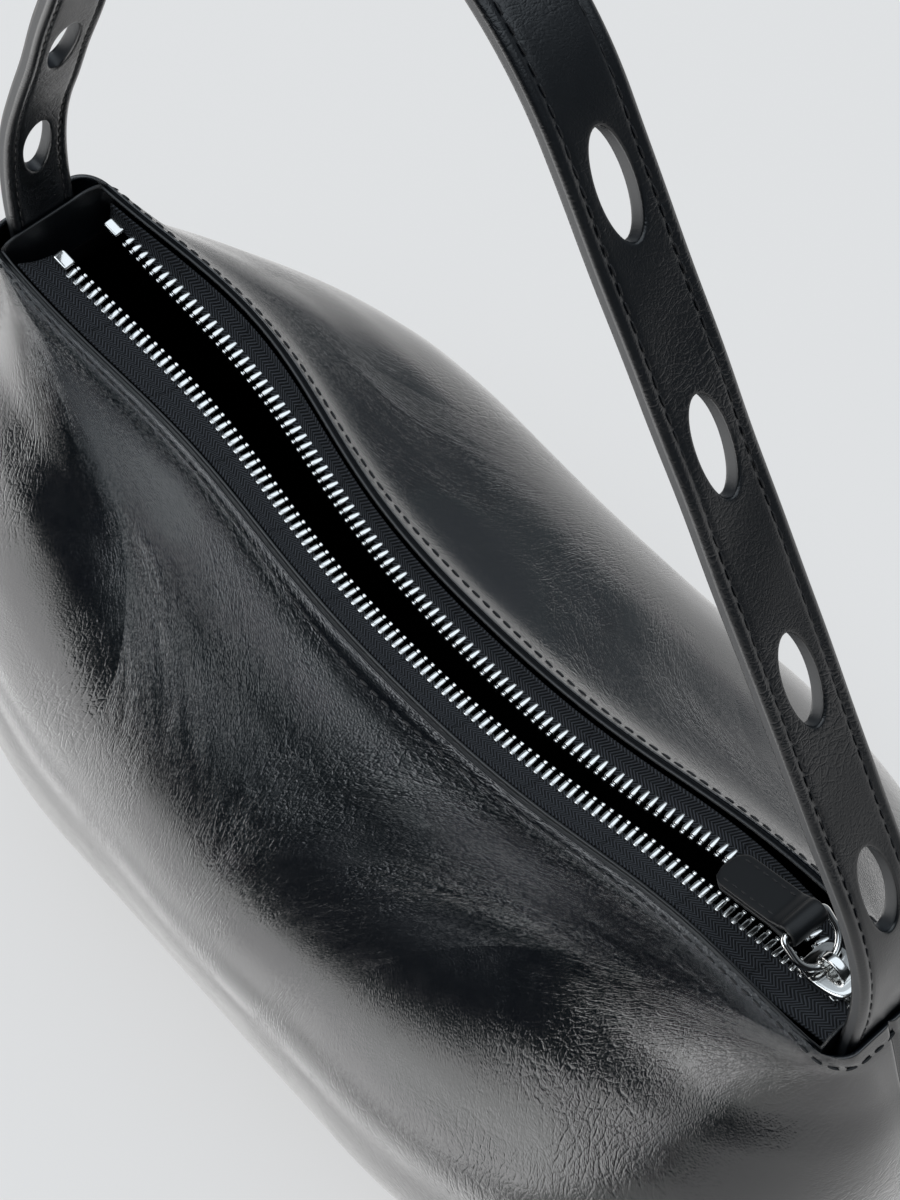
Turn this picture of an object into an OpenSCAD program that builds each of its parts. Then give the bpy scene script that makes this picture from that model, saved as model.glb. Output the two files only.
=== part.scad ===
// Soft shoulder bag: a leather shell with a sagging zipped mouth and a punched strap.
// X runs along the mouth, Y from front to back, Z up. The origin is on the floor,
// under the middle of the bag.

/* [Body] */
// Length of the bag at its widest, below the mouth
belly_length = 332; // [280:1:400]
// Depth of the bag at its widest, front to back
belly_depth = 162; // [130:1:200]
// Height of the two ends of the mouth above the floor
body_height = 165; // [140:1:210]
// Length of the flat base
base_length = 268; // [220:1:280]
// Depth of the flat base
base_depth = 96; // [80:1:120]

/* [Mouth] */
// Length of the mouth over its leather edges
mouth_length = 290; // [260:1:300]
// Width of the mouth over its leather edges
mouth_width = 30; // [28:1:40]
// How far the middle of the mouth sags below its ends
mouth_sag = 25; // [10:1:35]
// How far the mouth sits in front of the middle of the belly
mouth_forward = 3; // [0:1:8]
// Sideways wave of the mouth near its left end
left_wave = 7.8; // [0:0.2:9]
// Sideways wave of the mouth near its right end
right_wave = 4.7; // [0:0.1:6]
// How much wider each side of the mouth bows out near its left end
left_swell = 4.5; // [3:0.1:6]

/* [Sheets] */
// Thickness of the outer leather
leather_t = 1.4; // [1:0.1:2]
// Thickness of the leather facing inside the mouth
facing_t = 0.9; // [0.6:0.1:1.2]
// Thickness of the lining cloth
lining_t = 0.5; // [0.4:0.1:0.8]
// Thickness of the strips that back the end seams
strip_t = 0.7; // [0.5:0.1:0.9]
// Thickness of the board inside the base
board_t = 1.6; // [1:0.1:3]
// Space between the leather and the lining
lining_gap = 1.1; // [1:0.1:2]

/* [Strap] */
// Width of the strap
strap_w = 18.5; // [14:0.5:22]
// Thickness of each leather face of the strap
strap_face_t = 1.6; // [1.2:0.1:2]
// Thickness of the reinforcing core of the strap
strap_core_t = 0.8; // [0.4:0.1:1.2]
// Length of each punched hole in the strap
hole_length = 21; // [14:0.5:26]
// Width of each punched hole in the strap
hole_width = 8; // [5:0.5:9]
// Distance between the middles of two punched holes
hole_pitch = 50.9; // [40:0.1:60]
// Distance along the strap from the right root to the first hole
first_hole = 38.6; // [30:0.1:45]
// Number of punched holes
hole_count = 10; // [4:1:10]
// Height of the strap's swing axis above the ends of the mouth
pivot_rise = 6; // [5:0.5:10]
// How far the sewn ends of the strap reach down into the bag
anchor_depth = 16; // [10:1:17]

/* [Zip] */
// Distance between two teeth of one row
tooth_pitch = 2.5; // [2.2:0.1:3]
// Length of a tooth across the row
tooth_l = 4.5; // [4:0.1:5]
// Width of a tooth along the row
tooth_w = 1.3; // [1:0.1:1.5]
// Thickness of a tooth
tooth_t = 2.4; // [2:0.1:2.6]
// Thickness of the zip tape
tape_t = 0.6; // [0.4:0.1:0.8]
// Length of the zip's metal slider
slider_l = 14; // [12:0.5:15]
// Width of the zip's metal slider
slider_w = 11.4; // [11:0.1:13]
// Thickness of each plate of the slider
wing_t = 1.1; // [0.9:0.1:1.4]
// Thickness of the wire of the pull ring
wire_d = 1.5; // [1.2:0.1:1.7]
// Width of the leather puller
puller_w = 10; // [8:0.2:10.4]
// Length of the leather puller from the ring
puller_l = 23; // [16:1:24]
// Thickness of the leather puller
puller_t = 3; // [2.4:0.1:3.6]
// Outer diameter of the puller's fold round the ring
fold_d = 6; // [5:0.2:7]
// Length of the pull ring from the slider to the puller
ring_l = 10.5; // [9:0.5:13]

/* [Hidden] */
// One overrun for all cuts
over = 1;
// Space between pieces that move past each other
clear = 0.3;
// Space between sheets that are sewn together
sewn_gap = 0.1;
facets = 32;

// Levels of the shell, from the base up to the rim of the mouth.
// Height of each level as a share of the height above the base
height_shares = [0, 0.03, 0.12, 0.27, 0.44, 0.58, 0.7, 0.806, 0.89, 0.957, 1];
// Place of each level between the base (0) and the belly (1), for length and depth
low_length_shares = [0, 0.41, 0.72, 0.94, 1];
low_depth_shares = [0, 0.34, 0.7, 0.94, 1];
// Place of each level between the rim (0) and the belly (1), for length and depth
high_length_shares = [0.9, 0.76, 0.57, 0.33, 0.14, 0];
high_depth_shares = [0.97, 0.83, 0.6, 0.335, 0.1, 0];
// Corner radii in plan, as shares of the half length and of the half depth
corner_length_shares = [0.54, 0.58, 0.62, 0.66, 0.69, 0.71, 0.71, 0.67, 0.53, 0.27, 0.048];
corner_depth_shares = [0.875, 0.85, 0.87, 0.91, 0.925, 0.91, 0.91, 0.91, 0.87, 0.72, 0.4];
// How much of the sag and of the sideways waves each level follows
sag_shares = [0, 0, 0, 0, 0.12, 0.3, 0.5, 0.7, 0.85, 0.95, 1];
wave_shares = [0, 0, 0, 0, 0.1, 0.25, 0.45, 0.65, 0.85, 0.95, 1];
swell_shares = [0, 0, 0, 0, 0, 0.02, 0.06, 0.14, 0.3, 0.62, 1];
rim_level = len(height_shares) - 1;
belly_level = len(low_length_shares) - 1;

function mix(a, b, share) = a + (b - a) * share;
function bump(x, middle, width) = exp(-pow((x - middle) / width, 2));

rim_z = body_height;
mouth_half = mouth_length / 2;
left_wave_x = -0.58 * mouth_half;
left_wave_w = 0.317 * mouth_half;
right_wave_x = 0.655 * mouth_half;
right_wave_w = 0.276 * mouth_half;
swell_x = -0.69 * mouth_half;
swell_w = 0.31 * mouth_half;
base_z = leather_t;

// Middle line of the mouth, seen from above
function mouth_y(x) = left_wave * bump(x, left_wave_x, left_wave_w)
    + right_wave * bump(x, right_wave_x, right_wave_w) - mouth_forward;

// How much deeper than the plain rounded rectangle the mouth is there
function swell_at(x) = 1 + left_swell * bump(x, swell_x, swell_w) / (mouth_width / 2);
function sag_at(x) = mouth_sag * max(0, 1 - pow(x / mouth_half, 2));
function mouth_z(x) = rim_z - sag_at(x);

function half_length(k) = k <= belly_level
    ? mix(base_length, belly_length, low_length_shares[k]) / 2
    : mix(mouth_length, belly_length, high_length_shares[k - belly_level - 1]) / 2;
function half_depth(k) = k <= belly_level
    ? mix(base_depth, belly_depth, low_depth_shares[k]) / 2
    : mix(mouth_width, belly_depth, high_depth_shares[k - belly_level - 1]) / 2;
function level_z(k) = mix(base_z, rim_z, height_shares[k]);

// Columns of the shell from the left seam (-1) to the right seam (1) of one panel
side_columns = 6;
corner_columns = 8;
end_columns = 2;
side_end_share = 0.5;
corner_end_share = 0.92;
half_columns = concat(
    [for (i = [0:side_columns - 1]) side_end_share * i / side_columns],
    [for (i = [0:corner_columns - 1]) mix(side_end_share, corner_end_share, i / corner_columns)],
    [for (i = [0:end_columns]) mix(corner_end_share, 1, i / end_columns)]);
columns = concat(
    [for (i = [len(half_columns) - 1:-1:1]) -half_columns[i]],
    half_columns);

// Point of a rounded rectangle in plan: a is half its length, b half its depth
function plan_point(t, a, b, rx, ry) = let (
    s = abs(t),
    turn = 90 * (s - side_end_share) / (corner_end_share - side_end_share),
    x = s < side_end_share ? (a - rx) * s / side_end_share
        : s < corner_end_share ? a - rx + rx * sin(turn) : a,
    y = s < side_end_share ? b
        : s < corner_end_share ? b - ry + ry * cos(turn)
        : (b - ry) * (1 - s) / (1 - corner_end_share))
    [sign(t) * x, y];

// Point of the outside of the leather: side is -1 in front and 1 at the back
function shell_point(k, t, side) = let (
    a = half_length(k),
    b = half_depth(k),
    p = plan_point(t, a, b, a * corner_length_shares[k], b * corner_depth_shares[k]))
    [p[0], side * p[1] * mix(1, swell_at(p[0]), swell_shares[k]) + wave_shares[k] * mouth_y(p[0]),
        level_z(k) - sag_shares[k] * sag_at(p[0])];

// Direction out of the shell at a grid point, from its neighbours
function unit(v) = v / norm(v);
function step_at(list, j, d) = list[min(len(list) - 1, max(0, j + d))];
function along(k, j, side) = abs(columns[j]) == 1
    ? [0, sign(columns[j]) * -side, 0]
    : shell_point(k, step_at(columns, j, 1), side) - shell_point(k, step_at(columns, j, -1), side);
function upward(k, j, side) =
    shell_point(min(rim_level, k + 1), columns[j], side)
    - shell_point(max(0, k - 1), columns[j], side);
function outward(k, j, side) = unit(cross(along(k, j, side), upward(k, j, side)) * -side);

// Grid point moved into the bag by a depth; the first and last levels keep their height
function inner_point(k, j, side, depth, low, high) = let (
    p = shell_point(k, columns[j], side),
    n = outward(k, j, side),
    flat = unit([n[0], n[1], 0]),
    moved = k == low || k == high ? p - depth * flat : p - depth * n)
    abs(columns[j]) == 1 ? [moved[0], p[1], moved[2]] : moved;

// Closed solid between two grids of the same rows and columns
module sheet_between(outer, inner) {
    rows = len(outer);
    cols = len(outer[0]);
    count = rows * cols;
    points = concat([for (r = outer) each r], [for (r = inner) each r]);
    function at(r, c) = r * cols + c;
    outside = [for (r = [0:rows - 2], c = [0:cols - 2]) each [
        [at(r, c), at(r, c + 1), at(r + 1, c + 1)],
        [at(r, c), at(r + 1, c + 1), at(r + 1, c)]]];
    inside = [for (f = outside) [f[0] + count, f[2] + count, f[1] + count]];
    edge = concat(
        [for (c = [0:cols - 1]) at(0, c)],
        [for (r = [1:rows - 1]) at(r, cols - 1)],
        [for (c = [cols - 2:-1:0]) at(rows - 1, c)],
        [for (r = [rows - 2:-1:1]) at(r, 0)]);
    walls = [for (i = [0:len(edge) - 1]) let (p = edge[i], q = edge[(i + 1) % len(edge)]) each [
        [p, p + count, q + count],
        [p, q + count, q]]];
    polyhedron(points = points, faces = concat(outside, inside, walls));
}

// Part of the shell between two depths, two levels and two columns
module shell_sheet(side, depth, t, low = 0, high = rim_level, first = 0, last = len(columns) - 1) {
    outer = [for (k = [low:high]) [for (j = [first:last]) inner_point(k, j, side, depth, low, high)]];
    inner = [for (k = [low:high]) [for (j = [first:last]) inner_point(k, j, side, depth + t, low, high)]];
    if (side < 0) sheet_between(inner, outer);
    else sheet_between(outer, inner);
}

module front_panel() {
    color("#17181b") shell_sheet(-1, 0, leather_t);
}

module back_panel() {
    color("#17181b") shell_sheet(1, 0, leather_t);
}

// Outline of the base, drawn in by a margin
module base_outline(margin) {
    a = half_length(0) - margin;
    b = half_depth(0) - margin;
    rx = half_length(0) * corner_length_shares[0] - margin;
    ry = half_depth(0) * corner_depth_shares[0] - margin;
    front = [for (t = columns) let (p = plan_point(t, a, b, rx, ry)) [p[0], -p[1]]];
    back = [for (i = [len(columns) - 2:-1:1]) plan_point(columns[i], a, b, rx, ry)];
    polygon(concat(front, back));
}

board_margin = leather_t + lining_gap + lining_t + 2 * clear;

module base_panel() {
    color("#131416") linear_extrude(base_z) base_outline(0);
}

module base_board() {
    color("#5b4a36") translate([0, 0, base_z]) linear_extrude(board_t) base_outline(board_margin);
}

module base_lining() {
    color("#0d0d0f") translate([0, 0, base_z + board_t])
        linear_extrude(lining_t) base_outline(board_margin);
}

// The lining runs from the base lining up to the facing
lining_depth = leather_t + lining_gap;
facing_level = 8;

// Facing and strap share the ends of the mouth, so the facing stands clear of the strap
strap_t = 2 * strap_face_t + strap_core_t;
strap_x = mouth_half - leather_t - clear - strap_t / 2;
facing_half = strap_x - strap_t / 2 - clear;
facing_depth = leather_t + sewn_gap;

function facing_point(k, j, side, depth) = let (
    p = inner_point(k, j, side, depth, 0, rim_level),
    limit = facing_half - (depth - facing_depth))
    [max(-limit, min(limit, p[0])), p[1], p[2]];

module facing(side) {
    function face_at(depth) = [for (k = [facing_level:rim_level])
        [for (j = [0:len(columns) - 1]) facing_point(k, j, side, depth)]];
    outer = face_at(facing_depth);
    inner = face_at(facing_depth + facing_t);
    if (side < 0) sheet_between(inner, outer);
    else sheet_between(outer, inner);
}

module front_facing() {
    color("#1c1d20") facing(-1);
}

module back_facing() {
    color("#1c1d20") facing(1);
}

// The lining hangs from inside the facing's lower edge and then follows the shell
function lining_point(k, j, side, depth) = k < facing_level
    ? inner_point(k, j, side, depth + lining_depth, 0, rim_level)
    : facing_point(k, j, side, facing_depth + facing_t + sewn_gap + depth);

module lining(side) {
    function face_at(depth) = [for (k = [0:facing_level])
        [for (j = [0:len(columns) - 1]) lining_point(k, j, side, depth)]];
    outer = face_at(0);
    inner = face_at(lining_t);
    if (side < 0) sheet_between(inner, outer);
    else sheet_between(outer, inner);
}

module front_lining() {
    color("#0d0d0f") lining(-1);
}

module back_lining() {
    color("#0d0d0f") lining(1);
}

// Strip of reinforcement behind an end seam, reaching over the flat of both panels
strip_low = 1;
strip_high = 7;

module seam_strip(first, last) {
    function part_row(k, depth, side, list) = [for (j = list) inner_point(k, j, side, depth, 0, rim_level)];
    function strip_row(k, depth) = first == 0
        ? concat(part_row(k, depth, 1, [last:-1:1]), part_row(k, depth, -1, [first:last]))
        : concat(part_row(k, depth, -1, [first:last]), part_row(k, depth, 1, [last - 1:-1:first]));
    outer = [for (k = [strip_low:strip_high]) strip_row(k, facing_depth)];
    inner = [for (k = [strip_low:strip_high]) strip_row(k, facing_depth + strip_t)];
    sheet_between(inner, outer);
}

module left_seam_strip() {
    color("#1c1d20") seam_strip(0, end_columns);
}

module right_seam_strip() {
    color("#1c1d20") seam_strip(len(columns) - 1 - end_columns, len(columns) - 1);
}

// The strap: its two legs stand in the ends of the mouth, between shell and facing
strap_back = 0.7;
strap_y = strap_back - mouth_forward;
strap_lean = 1.95;
pivot_z = rim_z + pivot_rise;
end_r = strap_w / 2;
apex_r = 67.3;
left_root_share = 0.3;
right_root_share = 0.285;
left_root = left_root_share * mouth_half;
right_root = right_root_share * mouth_half;
left_lean = 24;
right_lean = 34.8;

// Where a stretch of a given length ends up if it turns from one heading to another
function stretch(l, from, to) = from == to
    ? [l * cos(from), l * sin(from)]
    : let (turn = (to - from) * PI / 180)
        [l * (sin(to) - sin(from)) / turn, l * (cos(from) - cos(to)) / turn];

up = 90;
left_up = up - left_lean;
right_down = right_lean - up;
apex_l = apex_r * (left_up - right_down) * PI / 180;

// The two straight legs take the lengths that close the arch
fixed_sum = stretch(left_root, up, left_up) + stretch(apex_l, left_up, right_down)
    + stretch(right_root, right_down, -up);
left_way = stretch(1, left_up, left_up);
right_way = stretch(1, right_down, right_down);
open_x = 2 * strap_x - fixed_sum[0];
open_z = -fixed_sum[1];
cross_ways = left_way[0] * right_way[1] - left_way[1] * right_way[0];
left_leg_l = (open_x * right_way[1] - open_z * right_way[0]) / cross_ways;
right_leg_l = (left_way[0] * open_z - left_way[1] * open_x) / cross_ways;

// Stretches of the strap from the left pivot: length, heading at its start and end, steps
stretches = [
    [left_root, up, left_up, 6],
    [left_leg_l, left_up, left_up, 1],
    [apex_l, left_up, right_down, 18],
    [right_leg_l, right_down, right_down, 1],
    [right_root, right_down, -up, 8]];
strap_l = left_root + left_leg_l + apex_l + right_leg_l + right_root;

// Point and heading at a distance along the strap: [x, z, heading]
function strap_at(s, i = 0, start = [-strap_x, 0]) = let (
    p = stretches[i],
    last = i == len(stretches) - 1)
    s <= p[0] || last
        ? let (h = mix(p[1], p[2], s / p[0]), d = stretch(s, p[1], h))
            [start[0] + d[0], start[1] + d[1], h]
        : strap_at(s - p[0], i + 1, start + stretch(p[0], p[1], p[2]));

function sum_before(i) = i == 0 ? 0 : stretches[i - 1][0] + sum_before(i - 1);
strap_stations = concat(
    [for (i = [0:len(stretches) - 1]) let (p = stretches[i])
        for (n = [0:p[3] - 1]) sum_before(i) + p[0] * n / p[3]],
    [strap_l]);

// Places that ride with the strap are drawn from the swing axis
module at_pivot() {
    translate([0, strap_y, pivot_z]) rotate([-strap_lean, 0, 0]) children();
}

module strap_hole(s) {
    p = strap_at(s);
    translate([p[0], 0, p[1]]) rotate([0, -p[2], 0])
        linear_extrude(strap_t + 2 * over, center = true)
            polygon([for (a = [0:360 / facets:359]) [hole_length / 2 * cos(a), hole_width / 2 * sin(a)]]);
}

// One layer of the strap, between two distances outward from its middle
module strap_layer(low, high) {
    function edge(d) = [for (s = strap_stations) let (p = strap_at(s))
        [p[0] - d * sin(p[2]), p[1] + d * cos(p[2])]];
    low_edge = edge(low);
    high_edge = edge(high);
    outline = concat(high_edge, [for (i = [len(low_edge) - 1:-1:0]) low_edge[i]]);
    at_pivot() {
        difference() {
            rotate([90, 0, 0]) linear_extrude(strap_w, center = true) polygon(outline);
            for (i = [0:hole_count - 1]) strap_hole(strap_l - first_hole - i * hole_pitch);
        }
        for (side = [-1, 1]) strap_end(side, low, high);
    }
}

// Rounded lower end of a layer, about the swing axis
module strap_end(side, low, high) {
    middle = side * (strap_x + (low + high) / 2);
    translate([middle, 0, 0]) difference() {
        rotate([0, 90, 0]) cylinder(h = high - low, r = end_r, center = true, $fn = 2 * facets);
        translate([0, 0, strap_w / 2]) cube([strap_t, 2 * strap_w, strap_w], center = true);
    }
}

module strap_outer() {
    color("#131417") strap_layer(strap_core_t / 2, strap_t / 2);
}

module strap_core() {
    color("#2a2a2c") strap_layer(-strap_core_t / 2, strap_core_t / 2);
}

module strap_inner() {
    color("#131417") strap_layer(-strap_t / 2, -strap_core_t / 2);
}

// Sewn end of the strap below its fold, cut hollow round the strap's rounded end
anchor_drop = 1.8;

module strap_anchor(side) {
    top = rim_z - anchor_drop;
    bottom = rim_z - anchor_depth;
    difference() {
        translate([side * strap_x, strap_y, (top + bottom) / 2])
            cube([strap_t, strap_w, top - bottom], center = true);
        translate([side * strap_x, strap_y, pivot_z]) rotate([0, 90, 0])
            cylinder(h = strap_t + 2 * over, r = end_r + clear, center = true, $fn = 2 * facets);
    }
}

module left_strap_anchor() {
    color("#131417") strap_anchor(-1);
}

module right_strap_anchor() {
    color("#131417") strap_anchor(1);
}

// The zip: two rows of teeth on tapes, hung from the facings, with the slider at the right
row_drop = 6;
root_drop = 2.5;
row_shift = 1.8;
end_shift = 2.8;
slider_gap = 0.4;
stop_l = 2.6;
top_stop_l = 5;
top_stop_tuck = 0.8;
top_stop_inset = 9.5;
tape_inset = 3;
zip_right = facing_half - facing_t - clear - sewn_gap;
zip_left = -zip_right + top_stop_inset;
slider_x = zip_right - stop_l - slider_gap - slider_l / 2;
closed_half = tooth_l / 2 + sewn_gap;
open_half = 8.3;
throat_spread = 1.1;
throat_reach = 4;
open_power = 1.3;
right_spread = 1.3;
left_reach = -0.75 * mouth_half;

// Middle line of the two rows, straight along the slider
function free_row_y(x) = mouth_y(x) + row_shift + end_shift * bump(x, -mouth_half, mouth_half / 4);
throat_x = slider_x - slider_l / 2;
slider_yaw = atan((free_row_y(left_reach) - free_row_y(throat_x)) / (throat_x - left_reach));
function row_middle(x) = x < throat_x ? free_row_y(x)
    : free_row_y(throat_x) - tan(slider_yaw) * (x - throat_x);

// Half the distance between the rows: they part round the post in the slider
function row_half(x) = x > slider_x ? closed_half : let (
    away = slider_x - x,
    share = pow(min(1, away / (slider_x - zip_left)), open_power))
    closed_half + throat_spread * (1 - exp(-away / throat_reach))
        + (open_half - closed_half - throat_spread) * share
        + right_spread * bump(x, right_wave_x, right_wave_w / 2);
function row_z(x) = mouth_z(x) - row_drop;
function row_point(x, side) = [x, row_middle(x) + side * row_half(x), row_z(x)];
function slope_at(x) = atan(2 * mouth_sag * x / pow(mouth_half, 2));

// Half the width of the mouth over its leather edges
rim_rx = mouth_half * corner_length_shares[rim_level];
rim_ry = mouth_width / 2 * corner_depth_shares[rim_level];
function rim_half(x) = let (past = max(0, abs(x) - mouth_half + rim_rx) / rim_rx)
    swell_at(x) * (mouth_width / 2 - rim_ry * (1 - sqrt(max(0, 1 - past * past))));

// The tape is ruled from the facing to the row, and lies flatter beside the slider
end_tuck = 1.5;
end_tuck_w = 12;
function tape_root(x, side) = let (
    b = rim_half(x) - facing_depth - facing_t - tape_t - end_tuck * bump(x, zip_right, end_tuck_w),
    flat = bump(x, slider_x, 2 * slider_l))
    [x, mouth_y(x) + side * b, mouth_z(x) - mix(root_drop, row_drop - tape_t / 2, flat)];
function tape_edge(x, side) = row_point(x, side) + [0, side * (closed_half + tape_t / 2), 0];
tape_steps = 40;

module zip_tape(side) {
    function face_at(rise) = [for (i = [0:tape_steps]) let (
        x = mix(-zip_right + tape_inset, zip_right, i / tape_steps),
        root = tape_root(x, side),
        edge = tape_edge(x, side),
        across = unit(edge - root),
        n = [0, side * across[2], -side * across[1]])
        [root + rise * n, edge + rise * n]];
    top = face_at(tape_t / 2);
    under = face_at(-tape_t / 2);
    if (side < 0) sheet_between(top, under);
    else sheet_between(under, top);
}

module front_zip_tape() {
    color("#101012") zip_tape(-1);
}

module back_zip_tape() {
    color("#101012") zip_tape(1);
}

// Stands children on a row, turned along it
module at_row(x, side) {
    ahead = row_point(x + tooth_w, side) - row_point(x - tooth_w, side);
    translate(row_point(x, side)) rotate([0, -slope_at(x), atan(ahead[1] / ahead[0])]) children();
}

// Teeth follow their row; the back row stands half a pitch on
module zip_teeth(side) {
    first = zip_left + (side > 0 ? tooth_pitch / 2 : 0);
    last = slider_x + slider_l / 2 - tooth_pitch;
    for (x = [first:tooth_pitch:last]) at_row(x, side)
        cube([tooth_w, tooth_l, tooth_t], center = true);
}

module front_zip_teeth() {
    color("#c9ccd0") zip_teeth(-1);
}

module back_zip_teeth() {
    color("#c9ccd0") zip_teeth(1);
}

// Metal clip at the open end of a row
module top_stop(side) {
    at_row(zip_left - tooth_w - top_stop_l / 2, side)
        translate([0, -side * top_stop_tuck / 2, 0])
            cube([top_stop_l, tooth_l - sewn_gap - top_stop_tuck, tooth_t + 2 * clear], center = true);
}

module front_top_stop() {
    color("#d5d7da") top_stop(-1);
}

module back_top_stop() {
    color("#d5d7da") top_stop(1);
}

// Frame of the slider: X along the rows, Z square to them
module at_slider() {
    translate([slider_x, row_middle(slider_x), row_z(slider_x)])
        rotate([0, 0, -slider_yaw]) rotate([0, -slope_at(slider_x), 0]) children();
}

module bottom_stop() {
    color("#d5d7da") at_slider()
        translate([slider_l / 2 + slider_gap + stop_l / 2, 0, 0])
            cube([stop_l, 2 * tooth_l, tooth_t], center = true);
}

channel_t = tooth_t + 2 * clear;
wing_top = channel_t / 2 + wing_t;
wing_r = 2;
flange_t = 0.8;
tape_slot = tape_t + 3 * clear;
post_back = 3.2;
post_front = 6.6;
post_back_half = 0.3;
post_front_half = 0.6;

module slider_wing() {
    linear_extrude(wing_t) {
        square([slider_l - 2 * wing_r, slider_w], center = true);
        square([slider_l, slider_w - 2 * wing_r], center = true);
        for (x = [-1, 1], y = [-1, 1])
            translate([x * (slider_l / 2 - wing_r), y * (slider_w / 2 - wing_r)])
                circle(r = wing_r, $fn = facets);
    }
}

// Two plates joined by the post at the throat, with flanges beside the closed rows
module slider_body() {
    flange_l = slider_l / 2 - wing_r;
    flange_h = (channel_t - tape_slot) / 2;
    color("#d5d7da") at_slider() {
        for (side = [0, 1]) mirror([0, 0, side]) {
            translate([0, 0, channel_t / 2]) slider_wing();
            for (y = [-1, 1])
                translate([flange_l / 2, y * (slider_w - flange_t) / 2, (tape_slot + flange_h + sewn_gap) / 2])
                    cube([flange_l, flange_t, flange_h + sewn_gap], center = true);
        }
        linear_extrude(channel_t + wing_t, center = true) polygon([
            [-post_front, -post_front_half], [-post_back, -post_back_half],
            [-post_back, post_back_half], [-post_front, post_front_half]]);
    }
}

// Hump on the slider that holds the ring
bridge_r = 4.2;
bridge_hole_r = 3;
bridge_w = 2.6;
ring_seat = [-bridge_hole_r / 2, 0, wire_d / 2 + clear];

module slider_bridge() {
    color("#d5d7da") at_slider() translate([0, 0, wing_top]) difference() {
        rotate([90, 0, 0]) cylinder(h = bridge_w, r = bridge_r, center = true, $fn = 2 * facets);
        rotate([90, 0, 0]) cylinder(h = bridge_w + 2 * over, r = bridge_hole_r, center = true, $fn = 2 * facets);
        translate([0, 0, -bridge_r / 2 - over / 2])
            cube([2 * bridge_r + over, bridge_w + over, bridge_r + over], center = true);
    }
}

// Ring angle above level, and how far the puller droops from it
ring_raise = 35;
puller_droop = 20;
ring_angle = ring_raise + slope_at(slider_x);
puller_angle = -puller_droop + slope_at(slider_x);
ring_r = puller_w / 2 + wire_d / 2 + clear;

module at_ring() {
    at_slider() translate([ring_seat[0], 0, wing_top + ring_seat[2]])
        rotate([0, ring_angle, 0]) children();
}

module wire(l) {
    cylinder(h = l, d = wire_d, $fn = facets);
}

module wire_bend(r, turn) {
    rotate_extrude(angle = turn, $fn = 2 * facets) translate([r, 0]) circle(d = wire_d, $fn = facets);
}

// Wire ring: round where it passes the slider, straight inside the puller
ring_corner_r = 1.6;

module pull_ring() {
    bar_half = ring_r - ring_corner_r;
    corner_x = -ring_l + ring_corner_r;
    color("#d5d7da") at_ring() {
        translate([-ring_r, 0, 0]) rotate([0, 0, -90]) wire_bend(ring_r, 180);
        translate([-ring_l, -bar_half, 0]) rotate([-90, 0, 0]) wire(2 * bar_half);
        for (y = [-1, 1]) {
            translate([-ring_r, y * ring_r, 0]) rotate([0, -90, 0]) wire(-ring_r - corner_x);
            translate([corner_x, y * bar_half, 0]) rotate([0, 0, y > 0 ? 90 : 180]) wire_bend(ring_corner_r, 90);
        }
    }
}

// Leather strip folded round the ring's straight side
module puller_tab() {
    end_round = puller_w / 3;
    color("#151618") at_slider() translate([ring_seat[0], 0, wing_top + ring_seat[2]])
        translate([-ring_l * cos(ring_angle), 0, ring_l * sin(ring_angle)])
        rotate([0, puller_angle, 0]) difference() {
            union() {
                rotate([90, 0, 0]) cylinder(h = puller_w, d = fold_d, center = true, $fn = 2 * facets);
                translate([0, 0, -puller_t / 2]) linear_extrude(puller_t) {
                    translate([-(puller_l - end_round) / 2, 0])
                        square([puller_l - end_round, puller_w], center = true);
                    translate([-puller_l / 2, 0])
                        square([puller_l, puller_w - 2 * end_round], center = true);
                    for (y = [-1, 1])
                        translate([-puller_l + end_round, y * (puller_w / 2 - end_round)])
                            circle(r = end_round, $fn = facets);
                }
            }
            rotate([90, 0, 0]) cylinder(h = puller_w + 2 * over, d = wire_d + 2 * clear, center = true, $fn = facets);
        }
}

front_panel();
back_panel();
base_panel();
base_board();
base_lining();
front_lining();
back_lining();
front_facing();
back_facing();
left_seam_strip();
right_seam_strip();
left_strap_anchor();
right_strap_anchor();
front_zip_tape();
back_zip_tape();
front_zip_teeth();
back_zip_teeth();
front_top_stop();
back_top_stop();
bottom_stop();
slider_body();
slider_bridge();
pull_ring();
puller_tab();
strap_outer();
strap_core();
strap_inner();
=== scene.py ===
# %% [markdown]
# # A soft shoulder bag with a sagging zipped mouth
#
# This lesson builds the looks of one small black leather bag around its CAD part.
# The CAD part fixes the size, the place and the motion of every piece; the cells below
# give each piece its real surface: leather that bulges and creases, painted edges,
# stitches, a metal zip, and a strap with oval holes. Lengths are in millimetres inside
# the cells and become metres when a mesh is made.

# %% Load the frame
import math
import random

import bmesh
import bpy
import numpy as np
from mathutils import Matrix, Vector


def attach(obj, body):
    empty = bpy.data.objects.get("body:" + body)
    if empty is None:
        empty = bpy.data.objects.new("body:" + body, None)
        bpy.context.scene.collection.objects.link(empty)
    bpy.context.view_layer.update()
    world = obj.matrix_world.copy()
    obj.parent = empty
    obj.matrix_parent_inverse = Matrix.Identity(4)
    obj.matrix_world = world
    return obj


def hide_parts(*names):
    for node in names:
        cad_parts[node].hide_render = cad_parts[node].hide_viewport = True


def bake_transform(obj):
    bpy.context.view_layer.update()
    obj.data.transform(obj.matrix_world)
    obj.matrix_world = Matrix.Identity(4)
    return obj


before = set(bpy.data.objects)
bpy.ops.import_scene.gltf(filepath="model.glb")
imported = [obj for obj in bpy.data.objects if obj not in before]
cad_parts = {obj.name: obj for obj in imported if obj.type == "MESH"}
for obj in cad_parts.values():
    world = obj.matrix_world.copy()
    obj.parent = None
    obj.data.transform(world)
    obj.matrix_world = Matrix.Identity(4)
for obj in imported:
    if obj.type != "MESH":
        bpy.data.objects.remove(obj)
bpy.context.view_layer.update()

MM = 0.001


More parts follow.
